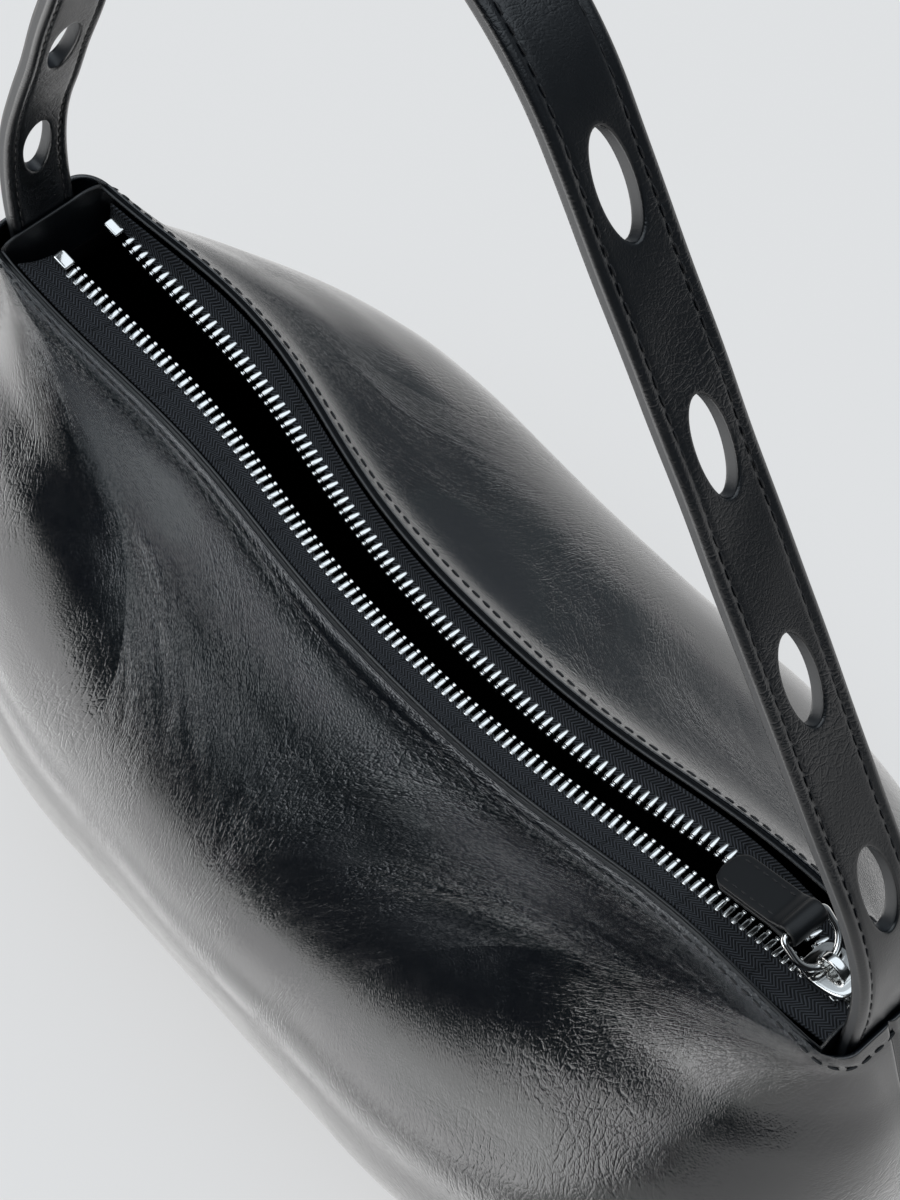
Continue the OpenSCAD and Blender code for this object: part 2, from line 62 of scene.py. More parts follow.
# %% [markdown]
# ## From grids of points to meshes
#
# Nearly every piece of a bag is a strip or a sheet, so its points form a grid: one
# direction along the piece and one across it. A grid can stay open, or close on itself
# like a tube. Making sheets as closed tubes with capped ends gives them a real
# thickness and an edge that can be rounded, which a single flat sheet can't have.

# %% Mesh helpers
def add_object(name, data):
    """A new object in the scene, at the origin."""
    thing = bpy.data.objects.new(name, data)
    bpy.context.scene.collection.objects.link(thing)
    return thing


def set_uv(mesh, uv):
    """Gives every face corner the UV pair of its point."""
    layer = mesh.uv_layers.get("UVMap") or mesh.uv_layers.new(name="UVMap")
    index = np.zeros(len(mesh.loops), np.int32)
    mesh.loops.foreach_get("vertex_index", index)
    layer.data.foreach_set("uv", np.asarray(uv, float)[index].ravel())


def make_piece(name, points, faces, material, uv=None):
    """A mesh object from points in mm; uv is one pair for each point."""
    mesh = bpy.data.meshes.new(name)
    mesh.from_pydata((np.asarray(points, float) * MM).tolist(), [], [list(map(int, f)) for f in faces])
    mesh.polygons.foreach_set("use_smooth", [True] * len(mesh.polygons))
    if uv is not None:
        set_uv(mesh, uv)
    mesh.materials.append(material)
    return add_object(name, mesh)


def grid_faces(rows, cols, close_rows=False, close_cols=False):
    """Quads of a grid whose points run row by row."""
    faces = []
    for r in range(rows if close_rows else rows - 1):
        for c in range(cols if close_cols else cols - 1):
            low, high, c2 = r * cols, (r + 1) % rows * cols, (c + 1) % cols
            faces.append([low + c, low + c2, high + c2, high + c])
    return faces


def capped_tube(n, m):
    """Faces through n loops of m points each, with a cap at both ends."""
    return grid_faces(n, m, close_cols=True) + [list(range(m))[::-1], [(n - 1) * m + i for i in range(m)]]


def facing_out(piece):
    """Turns the faces of a closed piece outward."""
    mesh = bmesh.new()
    mesh.from_mesh(piece.data)
    bmesh.ops.recalc_face_normals(mesh, faces=mesh.faces)
    mesh.to_mesh(piece.data)
    mesh.free()
    return piece


def ring_sheet(name, rings, material, uv=None):
    """Closed solid from rings of points that go once round the sheet's cross-section."""
    rings = np.asarray(rings, float)
    n, m, _ = rings.shape
    faces = grid_faces(n, m, close_cols=True)
    for first, end in ((0, 1), (n - 1, -1)):
        base = first * m
        for i in range(m // 2 - 1):
            a, b = base + i, base + m - 1 - i
            quad = [a, a + 1, b - 1, b] if b - 1 > a + 1 else [a, a + 1, b]
            faces.append(quad[::end])
    return facing_out(make_piece(name, rings.reshape(-1, 3), faces, material, uv))


def loops_solid(name, loops, material, uv=None):
    """Closed solid through loops of the same number of points, capped at both ends."""
    loops = np.asarray(loops, float)
    faces = capped_tube(*loops.shape[:2])
    return facing_out(make_piece(name, loops.reshape(-1, 3), faces, material, uv))


def bump_at(x, middle, width):
    return np.exp(-((np.asarray(x, float) - middle) / width) ** 2)


def mix(a, b, share):
    return a + (b - a) * share


def smooth_step(x):
    x = np.clip(x, 0, 1)
    return x * x * (3 - 2 * x)


# %% [markdown]
# ## Leather, cloth and metal
#
# Black leather shows almost no colour of its own: it is read from its reflections. Three
# layers of relief break them up. The grain is a field of small pebbles under a
# millimetre wide. The wrinkles are two nets of fine creases, which a Voronoi texture's
# distance to the edge gives, stretched along the hang of the leather, bent by a slow
# drift and stronger in patches. The lumps are slow noise. Each layer's height is a real
# height, and it is laid on the piece's own flat coordinates, so it bends with the piece.

# %% Materials
def node_material(name, colour, roughness, metallic=0.0, specular=0.5):
    material = bpy.data.materials.new(name)
    material.use_nodes = True
    shader = material.node_tree.nodes["Principled BSDF"]
    shader.inputs["Base Color"].default_value = (*colour, 1)
    shader.inputs["Roughness"].default_value = roughness
    shader.inputs["Metallic"].default_value = metallic
    shader.inputs["Specular IOR Level"].default_value = specular
    return material, material.node_tree, shader


def add_node(tree, kind, inputs=(), **settings):
    node = tree.nodes.new(kind)
    for key, value in settings.items():
        setattr(node, key, value)
    for key, value in dict(inputs).items():
        if isinstance(value, bpy.types.NodeSocket):
            tree.links.new(value, node.inputs[key])
        else:
            node.inputs[key].default_value = value
    return node


def maths(tree, operation, a, b=0.0, c=0.0):
    return add_node(tree, "ShaderNodeMath", {0: a, 1: b, 2: c}, operation=operation).outputs[0]


def noise(tree, vector, scale, detail=2.0, roughness=0.5, distortion=0.0):
    return add_node(tree, "ShaderNodeTexNoise", {
        "Vector": vector, "Scale": scale, "Detail": detail, "Roughness": roughness,
        "Distortion": distortion}).outputs["Fac"]


def relief(tree, height, distance, normal=None):
    inputs = {"Height": height, "Distance": distance, "Strength": 1.0}
    if normal is not None:
        inputs["Normal"] = normal
    return add_node(tree, "ShaderNodeBump", inputs).outputs["Normal"]


def stretched(tree, vector, scale):
    return add_node(tree, "ShaderNodeVectorMath", {0: vector, 1: scale}, operation="MULTIPLY").outputs[0]


def ramp(tree, value, low, high, start=0.0, end=1.0):
    return add_node(tree, "ShaderNodeMapRange", {
        "Value": value, "From Min": low, "From Max": high, "To Min": start, "To Max": end}).outputs[0]


def cracks(tree, vector, scale, width):
    """1 on the tops of irregular cells and 0 in the fine creases between them."""
    cells = add_node(tree, "ShaderNodeTexVoronoi", {"Vector": vector, "Scale": scale},
                     feature="DISTANCE_TO_EDGE")
    return ramp(tree, cells.outputs["Distance"], 0.0, width)


# How many of each there are along a metre of leather
LUMPS, PATCHES, BENDS, SMEARS = 26.0, 19.0, 45.0, 160.0
CREASES, SMALL_CREASES, PEBBLES, SPECKS = 600.0, 1000.0, 1400.0, 1300.0
DRIFT = 9 * MM


def leather(name, colour, roughness=0.2, grain=0.016, wrinkle=0.05, lumps=0.02, coat=1.0, hang=0.34):
    """Leather on a piece whose UV runs along it and across it in metres; heights in mm."""
    material, tree, shader = node_material(name, colour, roughness, specular=0.5)
    flat = add_node(tree, "ShaderNodeUVMap", uv_map="UVMap").outputs[0]
    drift = add_node(tree, "ShaderNodeTexNoise", {"Vector": flat, "Scale": BENDS, "Detail": 3.0})
    place = add_node(tree, "ShaderNodeVectorMath", {0: drift.outputs["Color"], 1: (DRIFT, DRIFT, 0), 2: flat},
                     operation="MULTIPLY_ADD").outputs[0]
    normal = relief(tree, noise(tree, stretched(tree, flat, (1, 0.55, 1)), LUMPS, 2.0), lumps * MM)
    patch = ramp(tree, noise(tree, stretched(tree, flat, (1, 0.7, 1)), PATCHES, 3.0), 0.42, 0.62)
    creases = cracks(tree, stretched(tree, place, (1, hang, 1)), CREASES, 0.14)
    small = cracks(tree, stretched(tree, place, (1, 0.5 + hang / 2, 1)), SMALL_CREASES, 0.2)
    wrinkles = maths(tree, "MULTIPLY", maths(tree, "MULTIPLY_ADD", small, 0.6, creases), patch)
    normal = relief(tree, wrinkles, wrinkle * MM, normal)
    specks = noise(tree, flat, SPECKS, 2.0)
    pebbles = maths(tree, "MULTIPLY_ADD", specks, 0.5, cracks(tree, place, PEBBLES, 0.35))
    normal = relief(tree, pebbles, grain * MM, normal)
    smears = noise(tree, flat, SMEARS, 4.0, 0.6)
    dull = ramp(tree, smears, 0.3, 0.7, roughness - 0.02, roughness + 0.04)
    tree.links.new(normal, shader.inputs["Normal"])
    tree.links.new(normal, shader.inputs["Coat Normal"])
    tree.links.new(dull, shader.inputs["Roughness"])
    shader.inputs["Coat Weight"].default_value = coat
    shader.inputs["Coat Roughness"].default_value = roughness - 0.05
    return material


panel_leather = leather("panel_leather", (0.0026, 0.0040, 0.0062))
strap_leather = leather("strap_leather", (0.0030, 0.0042, 0.006), 0.32, wrinkle=0.04, lumps=0.1,
                        coat=0.3, hang=0.8)
facing_leather = leather("facing_leather", (0.0034, 0.0045, 0.006), 0.36, wrinkle=0.02, lumps=0.1,
                         coat=0.4)
pull_leather, _, _ = node_material("pull_leather", (0.004, 0.0048, 0.006), 0.42, specular=0.4)
thread, _, _ = node_material("thread", (0.006, 0.0065, 0.008), 0.55)
lining_cloth, _, _ = node_material("lining_cloth", (0.0022, 0.0022, 0.0024), 0.95, specular=0.05)
plated, _, _ = node_material("plated_metal", (0.78, 0.775, 0.76), 0.12, metallic=1.0)
tooth_metal, _, _ = node_material("tooth_metal", (0.82, 0.82, 0.81), 0.2, metallic=1.0)
print("materials:", len(bpy.data.materials))

# %% [markdown]
# ## The form of the shell
#
# The shell is lofted through eleven levels, from the flat base to the rim. Each level is
# a rounded rectangle in plan with its own length, depth, height and corner radii. The
# levels near the top also follow the sag of the mouth and its sideways waves, because
# soft leather hangs from its stiff rim. A cubic curve through the levels turns the
# stepped CAD form into a smooth bulge that still passes through every CAD level.

# %% Shell rule
BODY_L, BODY_D, BODY_H, BASE_L, BASE_D = 332.0, 162.0, 165.0, 268.0, 96.0
MOUTH_L, MOUTH_W, SAG, FORWARD = 290.0, 30.0, 25.0, 3.0
LEATHER, FACING, LINING = 1.4, 0.9, 0.5
HALF = MOUTH_L / 2
LEFT_WAVE, LEFT_WAVE_X, LEFT_WAVE_REACH = 7.8, -0.58 * HALF, 0.317 * HALF
RIGHT_WAVE, RIGHT_WAVE_X, RIGHT_WAVE_REACH = 4.7, 0.655 * HALF, 0.276 * HALF
LEFT_SWELL, LEFT_SWELL_X, LEFT_SWELL_REACH = 4.5, -0.69 * HALF, 0.31 * HALF
SIDE_END, CORNER_END = 0.5, 0.92
END_SHARE, CORNER_SHARE = 1 - CORNER_END, CORNER_END - SIDE_END
height_share = np.array([0, 0.03, 0.12, 0.27, 0.44, 0.58, 0.7, 0.806, 0.89, 0.957, 1])
length_at = np.array([mix(BASE_L, BODY_L, s) for s in (0, 0.41, 0.72, 0.94, 1)]
                     + [mix(MOUTH_L, BODY_L, s) for s in (0.9, 0.76, 0.57, 0.33, 0.14, 0)]) / 2
depth_at = np.array([mix(BASE_D, BODY_D, s) for s in (0, 0.34, 0.7, 0.94, 1)]
                    + [mix(MOUTH_W, BODY_D, s) for s in (0.97, 0.83, 0.6, 0.335, 0.1, 0)]) / 2
corner_x = np.array([0.54, 0.58, 0.62, 0.66, 0.69, 0.71, 0.71, 0.67, 0.53, 0.27, 0.048])
corner_y = np.array([0.875, 0.85, 0.87, 0.91, 0.925, 0.91, 0.91, 0.91, 0.87, 0.72, 0.4])
sag_share = np.array([0, 0, 0, 0, 0.12, 0.3, 0.5, 0.7, 0.85, 0.95, 1])
wave_share = np.array([0, 0, 0, 0, 0.1, 0.25, 0.45, 0.65, 0.85, 0.95, 1])
swell_share = np.array([0, 0, 0, 0, 0, 0.02, 0.06, 0.14, 0.3, 0.62, 1])
TOP = len(height_share) - 1


def at_level(table, v):
    """Smooth value of a table of levels at level v, which may lie between two."""
    v = np.clip(v, 0, TOP)
    i = np.minimum(v.astype(int), TOP - 1)
    f = v - i
    slope = np.gradient(table)
    return ((2 * f**3 - 3 * f**2 + 1) * table[i] + (f**3 - 2 * f**2 + f) * slope[i]
            + (3 * f**2 - 2 * f**3) * table[i + 1] + (f**3 - f**2) * slope[i + 1])


def mouth_y(x):
    """How far back the middle of the mouth lies, with its two sideways waves."""
    return (LEFT_WAVE * bump_at(x, LEFT_WAVE_X, LEFT_WAVE_REACH)
            + RIGHT_WAVE * bump_at(x, RIGHT_WAVE_X, RIGHT_WAVE_REACH) - FORWARD)


def swell(x):
    """How much wider the mouth is at x than at its ends."""
    return 1 + LEFT_SWELL * bump_at(x, LEFT_SWELL_X, LEFT_SWELL_REACH) / (MOUTH_W / 2)


def mouth_z(x):
    """Height of the sagging rim."""
    return BODY_H - SAG * np.maximum(0, 1 - (np.asarray(x, float) / HALF) ** 2)


def shell(v, t, side):
    """Points on the outside of the leather at level v and column t, from -1 to 1."""
    v, t = np.broadcast_arrays(np.asarray(v, float), np.asarray(t, float))
    a, b = at_level(length_at, v), at_level(depth_at, v)
    rx, ry = a * at_level(corner_x, v), b * at_level(corner_y, v)
    s = np.abs(t)
    turn = np.radians(90 * np.clip((s - SIDE_END) / CORNER_SHARE, 0, 1))
    x = np.where(s < SIDE_END, (a - rx) * s / SIDE_END, a - rx + rx * np.sin(turn))
    y = np.where(s < CORNER_END, b - ry + ry * np.cos(turn), (b - ry) * (1 - s) / END_SHARE)
    x = np.sign(t) * x
    y = side * y * mix(1, swell(x), at_level(swell_share, v)) + at_level(wave_share, v) * mouth_y(x)
    z = LEATHER + (BODY_H - LEATHER) * at_level(height_share, v)
    return np.stack([x, y, z - at_level(sag_share, v) * SAG * np.maximum(0, 1 - (x / HALF) ** 2)], -1)


def outward(points, side):
    """Unit normals of a grid, rows by level and columns along x, pointing out of the bag."""
    n = np.cross(np.gradient(points, axis=1), np.gradient(points, axis=0)) * -side
    return n / np.linalg.norm(n, axis=-1, keepdims=True)


half_t = np.concatenate([np.linspace(0, SIDE_END, 31)[:-1], np.linspace(SIDE_END, CORNER_END, 41)[:-1],
                         1 - END_SHARE * np.linspace(1, 0, 17) ** 2])
columns = np.concatenate([-half_t[:0:-1], half_t])
FOOT_LEVEL, RIM_LEVEL = 0.35, 9.4
levels = np.concatenate([FOOT_LEVEL * np.linspace(0, 1, 9)[:-1] ** 2,
                         np.linspace(FOOT_LEVEL, RIM_LEVEL, 92)[:-1],
                         TOP - (TOP - RIM_LEVEL) * np.linspace(1, 0, 13) ** 1.6])
print("shell grid:", len(levels), "by", len(columns))


# %% [markdown]
# ## Front and back panels
#
# Each panel is a closed sheet: up its outside, over a rounded painted edge, and down its
# inside. Three small movements along the normal make it read as sewn leather. The edge
# turns in beside the end seams, a shallow groove follows the stitches below the rim, and
# a scatter of long soft folds breaks the smooth loft where the leather hangs.
#
# The front leather has also settled: it rolls out just below the rim, bulges over what
# the bag holds, and sinks in to the lower right and left of that. Five smooth humps of a
# millimetre or two, named for what they are on the bag, make these forms.

# %% Skin of the front
def settled(x, drop):
    """How far the front leather has moved out, in mm, at a drop below the rim."""
    rim_roll = 1.4 * bump_at(drop, 7, 9)
    right_shoulder = 1.8 * bump_at(x, 125, 35) * bump_at(drop, 8, 12)
    belly_bulge = 1.9 * bump_at(x, 0, 35) * bump_at(drop, 52, 18)
    right_hollow = -2.2 * bump_at(x, 85, 45) * bump_at(drop, 42, 15)
    left_hollow = -0.9 * bump_at(x, -75, 25) * bump_at(drop, 40, 11)
    return rim_roll + right_shoulder + belly_bulge + right_hollow + left_hollow


def skin(v, t, side):
    """The shell, with the front leather settled."""
    points = shell(v, t, side)
    if side > 0:
        return points
    drop = np.maximum(mouth_z(points[..., 0]) - points[..., 2], 0)
    fade = (1 - np.exp(-drop / 2)) * smooth_step((0.93 - np.abs(t)) / 0.3)
    return points + outward(points, side) * (settled(points[..., 0], drop) * fade)[..., None]


print("belly bulges in mm:", round(float(settled(0, 52)), 2))

# %% Panels
STITCH_DOWN, GROOVE_DEPTH, EDGE_ROUND, FOOT_ROUND = 3.7, 0.07, 1.3, 1.4
FOLDS, FOLD_LOW, FOLD_HIGH = 14, 20, 150
fold_maker = random.Random(11)


def soft_folds(x, z, count, low, high):
    """Sum of long, low folds at scattered places and slants; heights in mm."""
    total = np.zeros_like(x)
    for _ in range(count):
        x0, z0 = fold_maker.uniform(-140, 140), fold_maker.uniform(low, high)
        slant = math.radians(fold_maker.gauss(20, 35))
        long, wide = fold_maker.uniform(25, 60), fold_maker.uniform(6, 12)
        along = (x - x0) * math.cos(slant) + (z - z0) * math.sin(slant)
        across = (z - z0) * math.cos(slant) - (x - x0) * math.sin(slant)
        height = fold_maker.choice([-1, 1]) * fold_maker.uniform(0.08, 0.22)
        total += height * bump_at(along, 0, long) * bump_at(across, 0, wide)
    return total


def level_at_foot(normals, v):
    """Normals that lie level where the panel stands on the base."""
    flat = normals * [1, 1, 0]
    flat /= np.linalg.norm(flat, axis=-1, keepdims=True)
    return mix(flat, normals, smooth_step(np.asarray(v) / 0.7)[:, None, None])


def panel_surface(side):
    """Outside of a panel, its normals, and how far each point lies below the rim."""
    points = skin(levels[:, None], columns[None, :], side)
    normals = level_at_foot(outward(points, side), levels)
    steps = np.linalg.norm(np.diff(points, axis=0), axis=-1)
    down = np.concatenate([np.cumsum(steps[::-1], axis=0)[::-1], np.zeros((1, len(columns)))])
    calm = smooth_step((down - 5) / 25) * smooth_step(points[..., 2] / 25)
    move = calm * soft_folds(points[..., 0], points[..., 2], FOLDS, FOLD_LOW, FOLD_HIGH)
    move -= GROOVE_DEPTH * bump_at(down, STITCH_DOWN, 1.0)
    y, left_y, right_y = points[..., 1], points[:, :1, 1], points[:, -1:, 1]
    beside = np.minimum(np.abs(y - left_y), np.abs(y - right_y))
    near = np.clip(1 - beside / EDGE_ROUND, 0, 1) * (np.abs(columns) > CORNER_END)
    move -= 1.25 * (1 - np.sqrt(1 - near**2))
    foot = np.clip(1 - (points[..., 2] - LEATHER) / FOOT_ROUND, 0, 1)
    move -= 1.1 * (1 - np.sqrt(1 - foot**2))
    return points + normals * move[..., None], normals, down


def sheet_uv(down):
    """Flat coordinates in metres of a sheet's rings: along the rim, and down from it."""
    side_step = np.linalg.norm(np.diff(shell(np.array([8.0]), columns, -1), axis=0), axis=-1)
    along = np.concatenate([[0], np.cumsum(side_step)])
    v = np.concatenate([down, np.zeros((4, len(columns))) - 0.5, -down[::-1] - 1])
    uv = np.stack([np.broadcast_to(along[None], v.shape), v], -1)
    return (uv.transpose(1, 0, 2) * MM).reshape(-1, 2)


def rolled_top(outer, inner):
    """Points of a rounded edge from the outer to the inner rim."""
    middle, reach = (outer + inner) / 2, (outer - inner) / 2
    rise = np.linalg.norm(reach, axis=-1, keepdims=True) * np.array([0, 0, 0.8])
    return [middle + reach * math.cos(a) + rise * math.sin(a) for a in np.radians([35, 70, 110, 145])]


def sheet_rings(outer, inner):
    """One closed ring for each column of a pair of grids, with a rounded top."""
    return np.concatenate([outer, np.array(rolled_top(outer[-1], inner[-1])), inner[::-1]]).transpose(1, 0, 2)


surfaces = {}
for side, name in ((-1, "front_panel"), (1, "back_panel")):
    outer, normals, down = panel_surface(side)
    surfaces[side] = outer, normals, down
    inner = skin(levels[:, None], columns[None, :], side) - LEATHER * normals
    inner[:, 0, 1], inner[:, -1, 1] = outer[:, 0, 1], outer[:, -1, 1]
    panel = ring_sheet(name, sheet_rings(outer, inner), panel_leather, sheet_uv(down))
    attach(panel, "bag")
    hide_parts(name)
    print(name, "faces:", len(panel.data.polygons))

# %% [markdown]
# ## Facing, lining and base
#
# Inside the rim a leather facing stands beside the panel, so the edge is seen as two
# painted lines with a fine groove between them. At the ends it stays clear of the panel,
# and the strap goes down between the two. The lining hangs from the facing. Below, the
# base is a flat piece with a rounded edge that the panels are sewn to.

# %% Facing, lining and base
CLEAR, LINING_GAP, FAR_END = 0.3, 1.1, 1000.0
FACING_LEVEL, LINING_TOP = 8, 8.2
STRAP_FACE, STRAP_CORE = 1.6, 0.8
STRAP_T = 2 * STRAP_FACE + STRAP_CORE
STRAP_X = HALF - LEATHER - CLEAR - STRAP_T / 2
FACING_END = STRAP_X - STRAP_T / 2 - CLEAR


def inside_shell(v, t, side, depth, end):
    """Grid at a depth inside the leather, cut off square at the ends of the facing."""
    points = skin(v[:, None], t[None, :], side)
    normals = outward(points, side)
    flat = normals * [1, 1, 0]
    flat /= np.linalg.norm(flat, axis=-1, keepdims=True)
    normals = mix(level_at_foot(normals, v), flat, smooth_step((v - 9.5) / 0.5)[:, None, None])
    moved = points - depth * normals
    moved[:, 0, 1], moved[:, -1, 1] = points[:, 0, 1], points[:, -1, 1]
    moved[..., 0] = np.clip(moved[..., 0], -end, end)
    return moved


for side, name in ((-1, "front"), (1, "back")):
    high = np.concatenate([np.linspace(FACING_LEVEL, RIM_LEVEL, 14)[:-1],
                           TOP - (TOP - RIM_LEVEL) * np.linspace(1, 0, 10) ** 1.6])
    start = LEATHER + 0.02
    outer = inside_shell(high, columns, side, start, FACING_END)
    inner = inside_shell(high, columns, side, start + FACING, FACING_END - FACING)
    facing = ring_sheet(name + "_facing", sheet_rings(outer, inner), facing_leather,
                        sheet_uv(10 * (TOP - high[:, None] + 0 * columns)))
    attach(facing, "bag")
    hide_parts(name + "_facing")
    low = np.linspace(0, LINING_TOP, 36)
    few = np.append(columns[::3], 1.0)
    limit = np.where(low > FACING_LEVEL - 0.5, FACING_END - FACING - 0.1, FAR_END)[:, None]
    outer = inside_shell(low, few, side, LEATHER + LINING_GAP, FAR_END)
    inner = inside_shell(low, few, side, LEATHER + LINING_GAP + LINING, FAR_END)
    outer[..., 0] = np.clip(outer[..., 0], -limit, limit)
    inner[..., 0] = np.clip(inner[..., 0], LINING - limit, limit - LINING)
    lining = ring_sheet(name + "_lining", sheet_rings(outer, inner), lining_cloth)
    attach(lining, "bag")
    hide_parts(name + "_lining")


def base_loop(margin, z):
    """Outline of the base, drawn in by a margin, at a height."""
    a, b = BASE_L / 2, BASE_D / 2
    rx, ry = a * corner_x[0], b * corner_y[0]
    s = np.abs(columns)
    turn = np.radians(90 * np.clip((s - SIDE_END) / CORNER_SHARE, 0, 1))
    x = np.where(s < SIDE_END, (a - rx) * s / SIDE_END, a - rx + (rx - margin) * np.sin(turn))
    x = np.sign(columns) * x
    y = np.where(s < CORNER_END, b - ry + (ry - margin) * np.cos(turn), (b - ry) * (1 - s) / END_SHARE)
    front = np.stack([x, -y, np.full_like(x, z)], -1)
    return np.concatenate([front, (front * [1, -1, 1])[-2:0:-1]])


def plate(name, margins, heights, material):
    """Flat closed plate through loops of the base's outline."""
    loops = np.array([base_loop(m, z) for m, z in zip(margins, heights)])
    piece = loops_solid(name, loops, material, loops[..., :2].reshape(-1, 2) * MM)
    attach(piece, "bag")
    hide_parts(name)


board_in = LEATHER + LINING_GAP + LINING + 0.6
plate("base_panel", [2.2, 0.9, 0.3, 0.3, 0.9, 2.2], [0, 0.02, 0.4, 1.0, 1.38, LEATHER],
      panel_leather)
plate("base_lining", [board_in + 0.3, board_in, board_in, board_in + 0.3], [3.0, 3.1, 3.4, 3.5],
      lining_cloth)
board_fibre, tree, shader = node_material("board_fibre", (0.11, 0.085, 0.06), 0.85)
speck = noise(tree, add_node(tree, "ShaderNodeTexCoord").outputs["Object"], 900.0, 3.0)
tree.links.new(relief(tree, speck, 0.0002), shader.inputs["Normal"])
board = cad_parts["base_board"]
board.data.materials.clear()
board.data.materials.append(board_fibre)

STRIP_LOW, STRIP_HIGH, STRIP_T = 1, 7, 0.7
for end, name in ((-1, "left_seam_strip"), (1, "right_seam_strip")):
    rows = np.linspace(STRIP_LOW, STRIP_HIGH, 40)
    near = np.linspace(CORNER_END + 0.01, 1, 8) * end
    halves = []
    for depth in (LEATHER + 0.1, LEATHER + 0.1 + STRIP_T):
        back = inside_shell(rows, near, 1, depth, FAR_END)
        front = inside_shell(rows, near, -1, depth, FAR_END)
        halves.append(np.concatenate([front, back[:, -2::-1]], axis=1))
    outer, inner = halves
    rings = np.concatenate([outer, inner[:, ::-1]], axis=1)
    strip = ring_sheet(name, rings, facing_leather, rings[..., 1:].reshape(-1, 2) * MM)
    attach(strip, "bag")
    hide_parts(name)

# %% [markdown]
# ## Stitches from Geometry Nodes
#
# A line of stitches is one rule: walk along a line at a steady pitch and lay a short
# thread at every step, along the line. That is what the node group below does. It
# resamples the line by its Pitch input, turns each instance to the line's tangent, adds
# a little unevenness from a fixed seed, and ends in real geometry.

# %% Stitch rule
def set_up_group(name, sockets):
    """A geometry node group with a mesh in, a mesh out, and named inputs."""
    group = bpy.data.node_groups.new(name, "GeometryNodeTree")
    group.interface.new_socket("Geometry", in_out="INPUT", socket_type="NodeSocketGeometry")
    for label, kind in sockets:
        group.interface.new_socket(label, in_out="INPUT", socket_type=kind)
    group.interface.new_socket("Geometry", in_out="OUTPUT", socket_type="NodeSocketGeometry")
    return group, group.nodes.new("NodeGroupInput").outputs, group.nodes.new("NodeGroupOutput").inputs


def geo(group, kind, inputs=(), **settings):
    """The first output of a new node in a group."""
    return add_node(group, kind, inputs, **settings).outputs[0]


def laid_along(group, line, pitch, thing, scale, wobble, seed, material):
    """Puts a thing at every step along a line: X follows the line, Z stays up."""
    points = geo(group, "GeometryNodeResampleCurve", {"Curve": line, "Length": pitch}, mode="LENGTH")
    tangent = geo(group, "GeometryNodeInputTangent")
    turn = geo(group, "FunctionNodeAlignEulerToVector", {"Vector": tangent}, axis="X")
    turn = geo(group, "FunctionNodeAlignEulerToVector", {"Rotation": turn, "Vector": (0, 0, 1)},
               axis="Z", pivot_axis="X")
    copies = geo(group, "GeometryNodeInstanceOnPoints", {
        "Points": points, "Instance": thing, "Rotation": turn, "Scale": scale})
    uneven = geo(group, "FunctionNodeRandomValue", {0: (-wobble,) * 3, 1: (wobble,) * 3, "Seed": seed},
                 data_type="FLOAT_VECTOR")
    copies = geo(group, "GeometryNodeRotateInstances", {"Instances": copies, "Rotation": uneven})
    real = geo(group, "GeometryNodeRealizeInstances", {0: copies})
    return geo(group, "GeometryNodeSetMaterial", {"Geometry": real, "Material": material})


stitch_rule, given, result = set_up_group("Stitch row", [
    ("Pitch", "NodeSocketFloat"), ("Scale", "NodeSocketVector"), ("Seed", "NodeSocketInt"),
    ("Material", "NodeSocketMaterial")])
line = geo(stitch_rule, "GeometryNodeMeshToCurve", {"Mesh": given["Geometry"]})
bead = geo(stitch_rule, "GeometryNodeMeshUVSphere", {"Segments": 8, "Rings": 6, "Radius": 0.5})
made = laid_along(stitch_rule, line, given["Pitch"], bead, given["Scale"], 0.07,
                  given["Seed"], given["Material"])
stitch_rule.links.new(made, result["Geometry"])


def apply_rule(source, group, name, values):
    """Runs a node group on an object, which it removes, and returns one plain mesh object."""
    modifier = source.modifiers.new("rule", "NODES")
    modifier.node_group = group
    for socket in group.interface.items_tree:
        if socket.in_out == "INPUT" and socket.name in values:
            modifier[socket.identifier] = values[socket.name]
    source.update_tag()
    bpy.context.view_layer.update()
    ready = source.evaluated_get(bpy.context.evaluated_depsgraph_get())
    plain = bpy.data.meshes.new_from_object(ready)
    plain.name = name
    bpy.data.objects.remove(source)
    plain.polygons.foreach_set("use_smooth", [True] * len(plain.polygons))
    return add_object(name, plain)


def rule_along(group, name, lines, values):
    """Runs a node group on lines of points in mm."""
    mesh = bpy.data.meshes.new(name + "_line")
    points, edges = [], []
    for row in lines:
        edges += [(len(points) + i, len(points) + i + 1) for i in range(len(row) - 1)]
        points += [tuple(float(c) * MM for c in p) for p in row]
    mesh.from_pydata(points, edges, [])
    return apply_rule(add_object(name + "_line", mesh), group, name, values)


def stitches(name, lines, pitch, long, thick, seed=3):
    """Rows of stitches along lines; pitch and thread in mm."""
    return rule_along(stitch_rule, name, lines, {
        "Pitch": pitch * MM, "Scale": (long * MM, thick * MM, thick * MM), "Seed": seed, "Material": thread})


for side, name in ((-1, "front_rim_stitches"), (1, "back_rim_stitches")):
    outer, normals, down = surfaces[side]
    seat, path = (outer + 0.1 * normals)[::-1], []
    for c in range(4, len(columns) - 4):
        path.append([np.interp(STITCH_DOWN, down[::-1, c], seat[:, c, i]) for i in range(3)])
    row = stitches(name, [path], 3.7, 2.8, 0.6)
    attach(row, "bag")
    print(name, "faces:", len(row.data.polygons))


# %% [markdown]
# ## The path of the strap
#
# The strap stands up in an arch: it bends in from each end of the bag, runs straight, and
# turns round at the top. Each stretch turns evenly from one heading to the next, so the
# whole path is five lengths and six headings. The two straight lengths are the ones
# that close the arch onto the far pivot. A point of the strap is then given by its
# distance along the path, its place across the width and its height off the middle.

